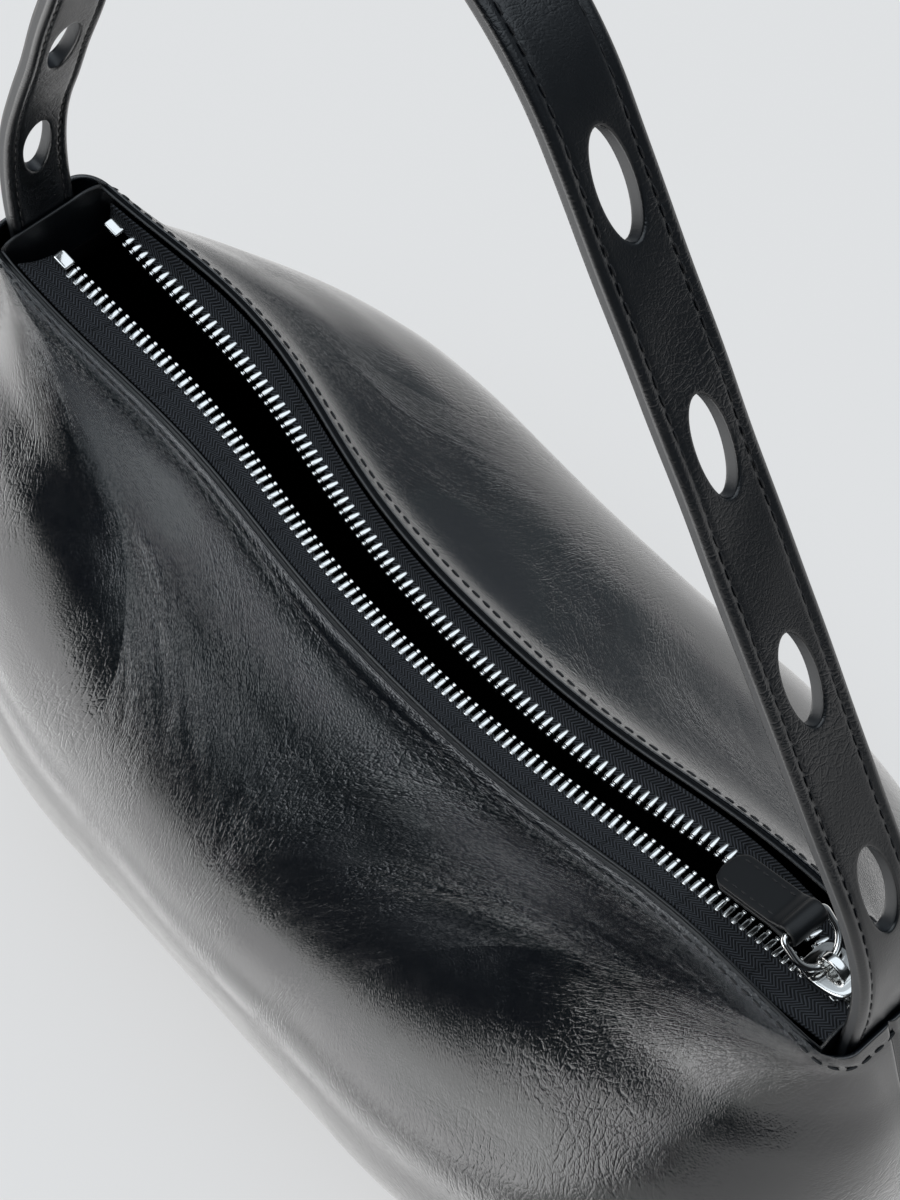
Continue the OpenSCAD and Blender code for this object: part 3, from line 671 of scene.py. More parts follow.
# %% Strap path
STRAP_W, STRAP_Y, PIVOT_Z, LEAN = 18.5, 0.7 - FORWARD, BODY_H + 6, math.radians(1.95)
APEX_R, LEFT_ROOT, RIGHT_ROOT, DOWN = 67.3, 0.3 * HALF, 0.285 * HALF, 22.0
LEFT_LEAN, RIGHT_LEAN = 24, 34.8
headings = np.radians([90, 90 - LEFT_LEAN, 90 - LEFT_LEAN, RIGHT_LEAN - 90, RIGHT_LEAN - 90, -90])


def way(i):
    """Sideways and upward travel of stretch i if it were one millimetre long."""
    h = mix(headings[i], headings[i + 1], (np.arange(2000) + 0.5) / 2000)
    return np.array([np.cos(h).mean(), np.sin(h).mean()])


lengths = [LEFT_ROOT, 0.0, APEX_R * (headings[2] - headings[3]), 0.0, RIGHT_ROOT]
gap = np.array([2 * STRAP_X, 0]) - sum(lengths[i] * way(i) for i in (0, 2, 4))
lengths[1], lengths[3] = np.linalg.solve(np.stack([way(1), way(3)], 1), gap)
knots = np.concatenate([[0], np.cumsum(lengths)])
STRAP_L = knots[-1]
path_s = np.linspace(-DOWN, STRAP_L + DOWN, 24001)
path_turn = np.interp(path_s, knots, headings)
step = path_s[1] - path_s[0]
middle_turn = (path_turn[1:] + path_turn[:-1]) / 2
path_x = -STRAP_X + np.concatenate([[0], np.cumsum(np.cos(middle_turn) * step)])
path_z = -DOWN + np.concatenate([[0], np.cumsum(np.sin(middle_turn) * step)])
print("strap length between pivots:", round(STRAP_L, 1))
print("path ends at:", round(path_x[-1], 2), round(path_z[-1], 2))


def strap_point(s, y, h):
    """Points at distance s along the strap, y across it and h out from its middle."""
    x, z, turn = (np.interp(s, path_s, row) for row in (path_x, path_z, path_turn))
    x, z = x - h * np.sin(turn), z + h * np.cos(turn)
    lean = LEAN * smooth_step((z + 12) / 12)
    across, up = y * np.cos(lean) + z * np.sin(lean), z * np.cos(lean) - y * np.sin(lean)
    return np.stack([x, STRAP_Y + across, PIVOT_Z + up], -1)


# %% [markdown]
# ## One cell of the strap, repeated
#
# The strap is punched with ten oval holes at an even pitch. So only one cell is modelled
# flat: a hole with a softly rounded lip, the leather round it, the two long edges with
# their painted curve, and the grooves that the stitches lie in. A node group lays the
# cells end to end, joins the two plain ends, and merges the seams. The flat strap is
# then bent onto its path.

# %% Strap cell
HOLE_L, HOLE_W, HOLE_PITCH, HOLE_COUNT = 21.0, 8.0, 50.9, 10
LAST_HOLE = STRAP_L - 38.6
FIRST_HOLE = LAST_HOLE - (HOLE_COUNT - 1) * HOLE_PITCH
EDGE_R, LIP_R, GROOVE_Y = 1.2, 0.6, STRAP_W / 2 - 2.7
half_w, half_t_strap = STRAP_W / 2, STRAP_T / 2
band = np.array([5.6, 6.0, 6.25, 6.45, 6.65, 6.9, 7.3, 7.7, 8.05, 8.4, 8.7, 8.93, 9.1, 9.2, half_w])
middle = np.linspace(-band[0], band[0], 13)
PATCH_HALF = 15


class Weave:
    """Collects points once each, by place, and the faces between them."""

    def __init__(self):
        self.places, self.points, self.faces, self.cut = {}, [], [], []

    def at(self, s, y, h):
        key = (round(float(s), 3), round(float(y), 3), round(float(h), 3))
        if key not in self.places:
            self.places[key] = len(self.points)
            self.points.append(key)
        return self.places[key]

    def sheet(self, grid, cut=False, flip=False):
        """Faces over a grid of point numbers."""
        for low, high in zip(grid[:-1], grid[1:]):
            for i in range(len(low) - 1):
                face = [low[i], low[i + 1], high[i + 1], high[i]]
                self.faces.append(face[::-1] if flip else face)
                self.cut.append(cut)


def rounded(d, r):
    """How far a rounded edge of radius r has fallen at distance d from the edge."""
    d = np.clip(d, 0, r)
    return r - np.sqrt(np.maximum(0, r * r - (r - d) ** 2))


def height_at(y):
    return half_t_strap - rounded(half_w - abs(y), EDGE_R)


def weave_bands(cell, along):
    """The two long edges with their painted curve."""
    for face in (1, -1):
        for side in (1, -1):
            grid = [[cell.at(s, side * y, face * height_at(y)) for s in along] for y in band]
            cell.sheet(grid, flip=face * side > 0)
    walls = np.linspace(-height_at(half_w), height_at(half_w), 5)
    for side in (1, -1):
        grid = [[cell.at(s, side * half_w, h) for s in along] for h in walls]
        cell.sheet(grid, cut=True, flip=side > 0)


def weave_plain(cell, along):
    """The flat middle where there is no hole."""
    for face in (1, -1):
        grid = [[cell.at(s, y, face * half_t_strap) for s in along] for y in middle]
        cell.sheet(grid, flip=face > 0)


def weave_hole(cell):
    """The patch round the hole, the hole's rounded lip on both faces, and its wall."""
    s_steps = np.linspace(-PATCH_HALF, PATCH_HALF, 25)
    border = ([(s, middle[0]) for s in s_steps[:-1]] + [(PATCH_HALF, y) for y in middle[:-1]]
              + [(s, middle[-1]) for s in s_steps[:0:-1]] + [(-PATCH_HALF, y) for y in middle[:0:-1]])
    border = np.array(border + border[:1])
    turn = np.arctan2(border[:, 1] / middle[-1], border[:, 0] / PATCH_HALF)
    turn[-1] = turn[0]

    def oval(d):
        return np.stack([(HOLE_L / 2 + d) * np.cos(turn), (HOLE_W / 2 + d) * np.sin(turn)], -1)

    loops = [(mix(border, oval(LIP_R), f), 0.0) for f in np.linspace(0, 1, 6)]
    loops += [(oval(d), float(rounded(d, LIP_R))) for d in (0.36, 0.18, 0.06, 0.0)]
    for face in (1, -1):
        grid = [[cell.at(s, y, face * (half_t_strap - drop)) for s, y in loop] for loop, drop in loops]
        cell.sheet(grid, flip=face < 0)
    rim = oval(0)
    walls = np.linspace(half_t_strap - LIP_R, -half_t_strap + LIP_R, 6)
    grid = [[cell.at(s, y, h) for s, y in rim] for h in walls]
    cell.sheet(grid, cut=True)


def flat_piece(name, cell):
    """A mesh object of a weave, with its cut faces marked."""
    piece = make_piece(name, cell.points, cell.faces, strap_leather)
    flag = piece.data.attributes.new("cut", "BOOLEAN", "FACE")
    flag.data.foreach_set("value", cell.cut)
    return piece


hole_cell, s0 = Weave(), -HOLE_PITCH / 2
before, over_hole = np.linspace(s0, -PATCH_HALF, 8), np.linspace(-PATCH_HALF, PATCH_HALF, 25)
weave_bands(hole_cell, np.concatenate([before[:-1], over_hole, -before[-2::-1]]))
weave_plain(hole_cell, before)
weave_plain(hole_cell, -before[::-1])
weave_hole(hole_cell)
cell_piece = flat_piece("strap_cell", hole_cell)
ends = Weave()
for along in (np.linspace(-DOWN, FIRST_HOLE + s0, 18), np.linspace(LAST_HOLE - s0, STRAP_L + DOWN, 22)):
    weave_bands(ends, along)
    weave_plain(ends, along)
ends_piece = flat_piece("strap_ends", ends)
print("points in one cell:", len(hole_cell.points))

# %% Strap rule
cut_edge, _, _ = node_material("cut_leather_edge", (0.022, 0.0245, 0.028), 0.5)
strap_rule, given, result = set_up_group("Punched strap", [
    ("Pitch", "NodeSocketFloat"), ("Count", "NodeSocketInt"), ("First", "NodeSocketFloat"),
    ("Ends", "NodeSocketObject"), ("Leather", "NodeSocketMaterial"), ("Edge", "NodeSocketMaterial")])
pitch_way = geo(strap_rule, "ShaderNodeCombineXYZ", {"X": given["Pitch"]})
first_at = geo(strap_rule, "ShaderNodeCombineXYZ", {"X": given["First"]})
marks = geo(strap_rule, "GeometryNodeMeshLine", {
    "Count": given["Count"], "Offset": pitch_way, "Start Location": first_at})
cells = geo(strap_rule, "GeometryNodeInstanceOnPoints", {"Points": marks, "Instance": given["Geometry"]})
plain_ends = add_node(strap_rule, "GeometryNodeObjectInfo", {"Object": given["Ends"]}).outputs["Geometry"]
joined = add_node(strap_rule, "GeometryNodeJoinGeometry")
strap_rule.links.new(cells, joined.inputs[0])
strap_rule.links.new(plain_ends, joined.inputs[0])
whole = geo(strap_rule, "GeometryNodeRealizeInstances", {0: joined.outputs[0]})
whole = geo(strap_rule, "GeometryNodeMergeByDistance", {"Geometry": whole, "Distance": 0.01 * MM})
whole = geo(strap_rule, "GeometryNodeSetMaterial", {"Geometry": whole, "Material": given["Leather"]})
is_cut = add_node(strap_rule, "GeometryNodeInputNamedAttribute", {"Name": "cut"}, data_type="BOOLEAN")
is_cut = next(socket for socket in is_cut.outputs if socket.enabled and socket.type == "BOOLEAN")
whole = geo(strap_rule, "GeometryNodeSetMaterial", {
    "Geometry": whole, "Selection": is_cut, "Material": given["Edge"]})
strap_rule.links.new(whole, result["Geometry"])

strap = apply_rule(cell_piece, strap_rule, "strap", {
    "Pitch": HOLE_PITCH * MM, "Count": HOLE_COUNT, "First": FIRST_HOLE * MM, "Ends": ends_piece,
    "Leather": strap_leather, "Edge": cut_edge})
bpy.data.objects.remove(ends_piece)

# %% Bend the strap onto its path
flat = np.zeros(len(strap.data.vertices) * 3, np.float32)
strap.data.vertices.foreach_get("co", flat)
flat = flat.reshape(-1, 3).astype(float) / MM
s, y, h = flat.T
on_face = np.abs(h) > half_t_strap - 0.05
dent = 0.3 * bump_at(np.abs(y), GROOVE_Y, 0.45) - 0.12 * bump_at(np.abs(y), (GROOVE_Y + half_w) / 2, 0.7)
ripple = (0.22 * np.sin(s / 13 + 0.6) * np.sin(s / 31 + y / 9)
          + 0.12 * np.sin(s / 5.3 + y / 4) * np.sin(s / 47))
calm_end = smooth_step((s + 2) / 25) * smooth_step((STRAP_L + 2 - s) / 25)
bent = strap_point(s, y, h - np.sign(h) * on_face * dent + ripple * calm_end)
strap.data.vertices.foreach_set("co", (bent * MM).astype(np.float32).ravel())
facing_out(strap)
FACE_APART = 40
set_uv(strap.data, np.stack([s, y + np.sign(h) * FACE_APART], -1) * MM)
strap.data.update()

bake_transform(strap)
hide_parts("strap_outer", "strap_core", "strap_inner", "left_strap_anchor", "right_strap_anchor")
print("strap faces:", len(strap.data.polygons))

SEWN_PAST = 8
walk = np.linspace(-SEWN_PAST, STRAP_L + SEWN_PAST, 360)
lines = [strap_point(walk, side * GROOVE_Y + 0 * walk, face * (half_t_strap - 0.16) + 0 * walk)
         for side in (1, -1) for face in (1, -1)]
strap_stitches = stitches("strap_stitches", lines, 3.6, 2.7, 0.5, seed=5)
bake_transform(strap_stitches)
print("strap stitch faces:", len(strap_stitches.data.polygons))

# %% [markdown]
# ## The open zip
#
# Each row of teeth hangs a little below the rim, and the tape runs up from it to the
# facing. The rows close up towards the slider. The tape is a herringbone weave: threads
# that slant one way in one band and the other way in the next, a fraction of a
# millimetre wide, so it is a bump pattern on the tape's own coordinates. The same
# pattern also paints the colour lighter on the thread crests and darker between them,
# as painted highlight and painted shade. The tape is made in short lengths, each of
# which bends from the bag to its row.

# %% Zip rows
TOOTH_PITCH, TOOTH_L, TOOTH_W, TAPE_T = 2.5, 4.5, 1.3, 0.6
ZIP_RIGHT, ZIP_LEFT, SLIDER_X, SLIDER_L = 137.7, -128.2, 127.7, 14.0
THROAT_X, ROW_DROP, ROOT_DROP = SLIDER_X - SLIDER_L / 2, 6.0, 1.3
CLOSED_HALF, OPEN_HALF = TOOTH_L / 2 + 0.1, 8.3
ROW_SHIFT, END_SHIFT, YAW_X = 1.8, 2.8, -0.75 * HALF
THROAT_SPREAD, THROAT_REACH, OPEN_POWER, RIGHT_SPREAD = 1.1, 4, 1.3, 1.3
END_TUCK, TUCK_REACH, TAPE_IN = 1.5, 12, 1.5


def free_row_y(x):
    """How far back the middle between the rows lies where they are open."""
    return mouth_y(x) + ROW_SHIFT + END_SHIFT * bump_at(x, -HALF, HALF / 4)


YAW = math.atan((free_row_y(YAW_X) - free_row_y(THROAT_X)) / (THROAT_X - YAW_X))


def row_middle(x):
    """The same along the whole zip, straight where the slider holds it."""
    return np.where(x < THROAT_X, free_row_y(x), free_row_y(THROAT_X) - math.tan(YAW) * (x - THROAT_X))


def row_half(x):
    """Half the distance between the two rows."""
    away = np.maximum(0, SLIDER_X - x)
    share = np.minimum(1, away / (SLIDER_X - ZIP_LEFT)) ** OPEN_POWER
    parted = (THROAT_SPREAD * (1 - np.exp(-away / THROAT_REACH))
              + (OPEN_HALF - CLOSED_HALF - THROAT_SPREAD) * share
              + RIGHT_SPREAD * bump_at(x, RIGHT_WAVE_X, RIGHT_WAVE_REACH / 2))
    return CLOSED_HALF + np.where(x > SLIDER_X, 0, parted)


def row_point(x, side):
    """Middle of a row of teeth."""
    x = np.asarray(x, float)
    return np.stack([x, row_middle(x) + side * row_half(x), mouth_z(x) - ROW_DROP], -1)


def slope_at(x):
    """How steeply the sagging mouth climbs."""
    return np.arctan(2 * SAG * x / HALF**2)


def rim_half(x):
    """Half the width of the rim."""
    rx, ry = HALF * 0.048, MOUTH_W / 2 * 0.4
    past = np.maximum(0, np.abs(x) - HALF + rx) / rx
    return swell(x) * (MOUTH_W / 2 - ry * (1 - np.sqrt(np.maximum(0, 1 - past**2))))


def tape_root(x, side):
    """Where the tape meets the facing."""
    x = np.asarray(x, float)
    b = rim_half(x) - TAPE_IN - FACING - TAPE_T - END_TUCK * bump_at(x, ZIP_RIGHT, TUCK_REACH)
    drop = mix(ROOT_DROP, ROW_DROP - TAPE_T / 2, bump_at(x, SLIDER_X, 2 * SLIDER_L))
    return np.stack([x, mouth_y(x) + side * b, mouth_z(x) - drop], -1)


# %% Zip tapes
BAND, THREAD_PITCH, THREAD_RELIEF = 2.0 * MM, 1.0 * MM, 0.16 * MM


def herringbone(name, colour):
    """Woven tape: slanting threads in bands, from UV in metres along and across; the colour is painted
    lighter on the thread crests and darker between them, as painted highlight and painted shade.
    """
    material, tree, shader = node_material(name, colour, 0.8, specular=0.3)
    uv = add_node(tree, "ShaderNodeUVMap", uv_map="UVMap").outputs[0]
    parts = add_node(tree, "ShaderNodeSeparateXYZ", {0: uv})
    u, v = parts.outputs[0], parts.outputs[1]
    band_place = maths(tree, "DIVIDE", v, BAND)
    odd = maths(tree, "MODULO", maths(tree, "FLOOR", band_place), 2.0)
    way_sign = maths(tree, "MULTIPLY_ADD", maths(tree, "ABSOLUTE", odd), 2.0, -1.0)
    slant = maths(tree, "MULTIPLY_ADD", v, way_sign, u)
    wave = maths(tree, "SINE", maths(tree, "MULTIPLY", slant, 2 * math.pi / THREAD_PITCH))
    tree.links.new(relief(tree, wave, THREAD_RELIEF), shader.inputs["Normal"])
    # Painted highlight on the thread crests and painted shade between them: the base colour follows the same
    # wave as the bump.
    painted_thread_shading = ramp(tree, wave, -1.0, 1.0, 0.1, 2.4)
    tint = add_node(tree, "ShaderNodeVectorMath", {0: (*colour,), 3: painted_thread_shading}, operation="SCALE").outputs[0]
    tree.links.new(tint, shader.inputs["Base Color"])
    return material


tape_weave = herringbone("tape_weave", (0.024, 0.026, 0.030))
across = np.linspace(0, 1, 12)
TAPE_GRIP, TAPE_SAG, TAPE_PARTS = 0.9, 0.7, 12


def tape_rings(xs, side):
    """Closed rings round the tape at each station, their UV, and the tape's two edges."""
    root, edge = tape_root(xs, side), row_point(xs, side) + [0, side * TAPE_GRIP, 0]
    line = mix(root[:, None], edge[:, None], across[None, :, None])
    line[..., 2] -= TAPE_SAG * np.sin(math.pi * across)
    ahead = np.gradient(line, axis=1)
    up = np.stack([0 * ahead[..., 0], -ahead[..., 2], ahead[..., 1]], -1)
    up *= np.sign(up[..., 2:]) * TAPE_T / 2 / np.linalg.norm(up, axis=-1, keepdims=True)
    width = np.linalg.norm(edge - root, axis=-1)
    uv = np.stack([np.broadcast_to(xs[:, None], line.shape[:2]), width[:, None] * (1 - across)], -1) * MM
    rings = np.concatenate([line + up, (line - up)[:, ::-1]], axis=1)
    return rings, np.concatenate([uv, uv[:, ::-1]], axis=1), root, edge


cuts = np.linspace(3 - ZIP_RIGHT, ZIP_RIGHT, TAPE_PARTS + 1)
for side, name in ((-1, "front"), (1, "back")):
    for i in range(TAPE_PARTS):
        xs = np.linspace(cuts[i], cuts[i + 1], 20)
        rings, uv, root, edge = tape_rings(xs, side)
        part = ring_sheet(f"{name}_tape_{i + 1}", rings, tape_weave, uv.reshape(-1, 2))
        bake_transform(part)
        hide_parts(name + "_zip_tape")

# %% [markdown]
# ## Teeth by a rule
#
# One tooth is modelled: a bar that grips the tape, a neck, and a rounded head that points
# into the mouth. The node group sets it along the row at the pitch of the zip. The back
# row is laid from the other end, which turns its teeth to face the front row, and starts
# half a pitch on, as the rows of a real zip do.

# %% Zip teeth
def soft_box(a, b, count=20, power=4):
    """Outline of a rounded rectangle with half sides a and b."""
    turn = np.linspace(0, 2 * math.pi, count, endpoint=False)
    c, s = np.cos(turn), np.sin(turn)
    x, y = np.sign(c) * np.abs(c) ** (2 / power), np.sign(s) * np.abs(s) ** (2 / power)
    return np.stack([a * x, b * y], -1)


# Place along the tooth, half width and half height there: bar, neck and head
bar = [(-2.25, 0.5, 1.0), (-2.2, 0.64, 1.14), (-2.05, 0.7, 1.2), (0.8, 0.72, 1.2), (1.0, 0.68, 1.15)]
neck = [(1.15, 0.5, 0.9), (1.35, 0.46, 0.85)]
head = [(1.55, 0.6, 0.98), (1.85, 0.66, 1.05), (2.08, 0.58, 0.92), (2.2, 0.36, 0.6), (2.25, 0.12, 0.2)]
TOOTH_POINTS = 16
tooth_loops = []
for place, half_x, half_z in bar + neck + head:
    outline = soft_box(half_x, half_z, TOOTH_POINTS, 5)
    tooth_loops.append(np.stack([outline[:, 0], np.full(TOOTH_POINTS, place), outline[:, 1]], -1))
tooth = loops_solid("tooth", tooth_loops, tooth_metal)

teeth_rule, given, result = set_up_group("Zip teeth", [
    ("Pitch", "NodeSocketFloat"), ("Tooth", "NodeSocketObject"), ("Seed", "NodeSocketInt"),
    ("Material", "NodeSocketMaterial")])
line = geo(teeth_rule, "GeometryNodeMeshToCurve", {"Mesh": given["Geometry"]})
one_tooth = add_node(teeth_rule, "GeometryNodeObjectInfo", {"Object": given["Tooth"]}).outputs["Geometry"]
made = laid_along(teeth_rule, line, given["Pitch"], one_tooth, (1, 1, 1), 0.02,
                  given["Seed"], given["Material"])
teeth_rule.links.new(made, result["Geometry"])

for side, name in ((-1, "front"), (1, "back")):
    first = ZIP_LEFT + (TOOTH_PITCH / 2 if side > 0 else 0)
    path = row_point(np.linspace(first, SLIDER_X + SLIDER_L / 2 - TOOTH_PITCH, 400), side)
    row = rule_along(teeth_rule, name + "_teeth", [path[::-1] if side > 0 else path], {
        "Pitch": TOOTH_PITCH * MM, "Tooth": tooth, "Seed": 2, "Material": tooth_metal})
    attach(row, "zip_" + name)
    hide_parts(name + "_zip_teeth")
    print(name, "teeth:", len(row.data.polygons) // len(tooth.data.polygons))
bpy.data.objects.remove(tooth)

# %% [markdown]
# ## Stops, slider, ring and puller
#
# The small hardware is bright plated metal with rounded edges, because a reflection
# needs a curved edge to run along. The slider is two domed plates round the closing
# rows, with a bridge on top. A wire ring hangs from the bridge, and a narrow strip of
# leather is folded round the ring's straight side and sewn to itself.

# %% Stops
BLOCK_POINTS, TOP_STOP, BOTTOM_STOP, BOTTOM_STOP_X = 32, (5, 3.8, 3), (2.6, 9, 2.4), 8.7


def placed(x, y, z, about_z=0.0, about_y=0.0):
    """Frame at a place in mm, turned about Z and then about its own Y."""
    return Matrix.Translation((x, y, z)) @ Matrix.Rotation(about_z, 4, "Z") @ Matrix.Rotation(about_y, 4, "Y")


def moved(points, frame_matrix):
    """Points in mm carried into a frame."""
    turn = np.array(frame_matrix)
    return np.asarray(points, float) @ turn[:3, :3].T + turn[:3, 3]


def soft_block(name, size, matrix, material, r=0.5):
    """Block with rounded edges, as loops stacked along Z."""
    a, b, c = (v / 2 for v in size)
    loops = []
    for angle in np.radians([0, 30, 60, 90]):
        inset = r * (1 - math.sin(angle))
        outline = soft_box(a - inset, b - inset, BLOCK_POINTS, 7)
        loops.append(np.column_stack([outline, np.full(BLOCK_POINTS, -c + r * (1 - math.cos(angle)))]))
    loops += [loop * [1, 1, -1] for loop in loops[::-1]]
    return loops_solid(name, [moved(loop, matrix) for loop in loops], material)


for side, name in ((-1, "front"), (1, "back")):
    x = ZIP_LEFT - TOOTH_W - TOP_STOP[0] / 2
    place, ahead = row_point(x, side), row_point(x + 1, side) - row_point(x - 1, side)
    matrix = placed(*place, math.atan2(ahead[1], ahead[0]), -slope_at(x))
    matrix = matrix @ Matrix.Translation((0, -side * 0.4, 0))
    stop = soft_block(name + "_top_stop", TOP_STOP, matrix, plated, 0.6)
    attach(stop, "zip_" + name)
    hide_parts(name + "_top_stop")

SLOPE = float(slope_at(SLIDER_X))
slider_place = SLIDER_X, float(row_middle(SLIDER_X)), float(mouth_z(SLIDER_X)) - ROW_DROP
slider_frame = placed(*slider_place, -YAW, -SLOPE)
stop_frame = slider_frame @ Matrix.Translation((BOTTOM_STOP_X, 0, 0))
stop = soft_block("bottom_stop", BOTTOM_STOP, stop_frame, plated)
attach(stop, "bag")
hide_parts("bottom_stop")

# %% Slider
SLIDER_W, CHANNEL, WING_TOP, LOOP_POINTS = 11.4, 3.0, 2.6, 56
POST_X, POST_HALF_L, POST_HALF_W = -4.9, 1.7, 0.6
FLANGE_X, FLANGE_Y, FLANGE_Z, FLANGE_HALF_L, FLANGE_HALF_W = 2.6, 5.0, 1.05, 2.6, 0.4


def wing_outline(margin):
    """Outline of a slider plate: wide at the open end, narrower at the closed end."""
    x, y = soft_box(SLIDER_L / 2 - margin, SLIDER_W / 2 - margin, LOOP_POINTS).T
    return np.stack([x, y * (1 - 0.13 * smooth_step((x + 1) / 8))], -1)


def stacked(outlines, heights):
    """Loops of points: each outline at its own height."""
    return [np.column_stack([line, np.full(LOOP_POINTS, z)]) for line, z in zip(outlines, heights)]


margins = [0.25, 0, 0, 0.2, 0.55, 1.3]
heights = [CHANNEL / 2, CHANNEL / 2 + 0.2, CHANNEL / 2 + 0.55, WING_TOP - 0.2, WING_TOP - 0.03, WING_TOP]
wings = [wing_outline(m) for m in margins]
parts = [stacked(wings, heights), stacked(wings, [-z for z in heights])]
post = soft_box(POST_HALF_L, POST_HALF_W, LOOP_POINTS, 2) + [POST_X, 0]
parts.append(stacked([post] * 4, (-1.8, -1.5, 1.5, 1.8)))
for y in (-FLANGE_Y, FLANGE_Y):
    for z in (-FLANGE_Z, FLANGE_Z):
        flange = soft_box(FLANGE_HALF_L, FLANGE_HALF_W, LOOP_POINTS, 5) + [FLANGE_X, y]
        parts.append(stacked([flange] * 4, (z - 0.55, z - 0.5, z + 0.5, z + 0.55)))
points, faces = [], []
for loops in parts:
    start = len(points)
    faces += [[start + i for i in f] for f in capped_tube(len(loops), LOOP_POINTS)]
    points += np.concatenate(loops).tolist()
body = facing_out(make_piece("slider_body_bright", moved(points, slider_frame), faces, plated))
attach(body, "slider")
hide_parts("slider_body")


def swept(name, path, sections, material, closed=False, up=(0, 1, 0)):
    """Tube along a path in mm; each section holds points to the side and upward."""
    path = np.asarray(path, float)
    ahead = np.roll(path, -1, 0) - np.roll(path, 1, 0) if closed else np.gradient(path, axis=0)
    ahead /= np.linalg.norm(ahead, axis=1, keepdims=True)
    side = np.cross(ahead, np.array(up, float))
    side /= np.linalg.norm(side, axis=1, keepdims=True)
    upward = np.cross(side, ahead)
    sections = np.broadcast_to(sections, (len(path),) + np.shape(sections)[-2:])
    loops = path[:, None] + side[:, None] * sections[..., :1] + upward[:, None] * sections[..., 1:]
    n, m, _ = loops.shape
    faces = grid_faces(n, m, close_rows=True, close_cols=True) if closed else capped_tube(n, m)
    return facing_out(make_piece(name, loops.reshape(-1, 3), faces, material))


BRIDGE_R = 3.6
turn = np.radians(np.linspace(0, 180, 33))
arch = np.stack([BRIDGE_R * np.cos(turn), 0 * turn, WING_TOP - 0.1 + BRIDGE_R * np.sin(turn)], -1)
bridge = swept("slider_bridge_bright", moved(arch, slider_frame), soft_box(0.58, 1.3, 24, 4), plated,
               up=tuple(moved([[0, 1, 0]], slider_frame.to_3x3().to_4x4())[0]))
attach(bridge, "slider")
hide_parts("slider_bridge")

# %% Ring
WIRE_D, SEEN_WIRE_R, RING_L, CORNER_R, FOLD_D, PULLER_W, PULLER_L = 1.5, 0.92, 10.5, 1.6, 6.0, 10.0, 23.0
RING_R = PULLER_W / 2 + WIRE_D / 2 + CLEAR
RING_ANGLE, PULLER_ANGLE = math.radians(35) + SLOPE, math.radians(-20) + SLOPE
seat_frame = slider_frame @ Matrix.Translation((-1.5, 0, WING_TOP + WIRE_D / 2 + CLEAR))
ring_frame = seat_frame @ Matrix.Rotation(RING_ANGLE, 4, "Y")


def arc(cx, cy, r, start, end, count):
    """Points on an arc in the ring's plane, between two angles in degrees."""
    a = np.radians(np.linspace(start, end, count))
    return [(cx + r * math.cos(t), cy + r * math.sin(t), 0) for t in a]


bar_half = RING_R - CORNER_R
loop = (arc(-RING_R, 0, RING_R, -90, 90, 33) + arc(CORNER_R - RING_L, bar_half, CORNER_R, 90, 180, 9)
        + [(-RING_L, bar_half * f, 0) for f in np.linspace(0.9, -0.9, 8)]
        + arc(CORNER_R - RING_L, -bar_half, CORNER_R, 180, 270, 9))
ring_up = tuple(moved([[0, 0, 1]], ring_frame.to_3x3().to_4x4())[0])
wire = soft_box(SEEN_WIRE_R, SEEN_WIRE_R, 20, 2)
ring = swept("pull_ring_bright", moved(loop, ring_frame), wire, plated, True, ring_up)
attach(ring, "ring")
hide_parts("pull_ring")

# %% [markdown]
# ## The leather puller
#
# The puller is one strip of leather: up from its tail, once round the ring's bar, and
# back down onto itself. Modelling it as that strip gives the open tube at the fold and
# the painted edges of both layers without any cutting.

# %% Puller
bar_place = Matrix.Translation((-RING_L * math.cos(RING_ANGLE), 0, RING_L * math.sin(RING_ANGLE)))
bar_frame = seat_frame @ bar_place @ Matrix.Rotation(PULLER_ANGLE, 4, "Y")
PLY, PLY_Z, PINCH_X, TIP_R = 1.48, 0.75, -5.2, 3.4
LOOP_R = FOLD_D / 2 - PLY / 2
tail = np.linspace(-PULLER_L, PINCH_X, 26)
pinch = math.degrees(math.asin((PLY_Z + 0.01) / LOOP_R)) + 22
round_turn = np.radians(np.linspace(180 - pinch, pinch - 180, 41))
round_part = np.stack([LOOP_R * np.cos(round_turn), LOOP_R * np.sin(round_turn)], -1)
lead = np.linspace(0, 1, 8)[1:-1]
joint_x, joint_z = mix(PINCH_X, round_part[0, 0], lead), mix(PLY_Z, round_part[0, 1], smooth_step(lead))
top_line = np.concatenate([np.stack([tail, 0 * tail + PLY_Z], -1), np.stack([joint_x, joint_z], -1)])
strip_line = np.concatenate([top_line, round_part, (top_line * [1, -1])[::-1]])
ahead = np.gradient(strip_line, axis=0)
ahead /= np.linalg.norm(ahead, axis=1, keepdims=True)
off = np.stack([-ahead[:, 1], ahead[:, 0]], -1)
past = np.clip((TIP_R - PULLER_L - strip_line[:, 0]) / TIP_R, 0, 1)
half_width = PULLER_W / 2 - TIP_R * (1 - np.sqrt(np.maximum(0.0, 1 - past**2)))
section = soft_box(1, PLY / 2, 28, 5)
loops = []
for (x, z), (nx, nz), w in zip(strip_line, off, half_width):
    loops.append(np.stack([x + nx * section[:, 1], w * section[:, 0], z + nz * section[:, 1]], -1))
run = np.concatenate([[0], np.cumsum(np.linalg.norm(np.diff(strip_line, axis=0), axis=1))])
strip_uv = np.stack([np.broadcast_to(run[:, None], (len(run), len(section))), np.array(loops)[..., 1]], -1)
puller = loops_solid("puller_strip", [moved(loop, bar_frame) for loop in loops], pull_leather,
                     strip_uv.reshape(-1, 2) * MM)
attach(puller, "puller")
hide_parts("puller_tab")

SEW_Y, SEW_Z, sew_x = 3.3, PLY_Z + PLY / 2 - 0.02, np.linspace(-19.5, -6, 20)
sew = [moved([(x, y, z) for x in sew_x], bar_frame) for z in (SEW_Z, -SEW_Z) for y in (-SEW_Y, SEW_Y)]
puller_stitches = stitches("puller_stitches", sew, 2.6, 1.9, 0.42, seed=7)
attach(puller_stitches, "puller")
print("puller strip and stitches:", len(puller.data.polygons), len(puller_stitches.data.polygons), "faces")

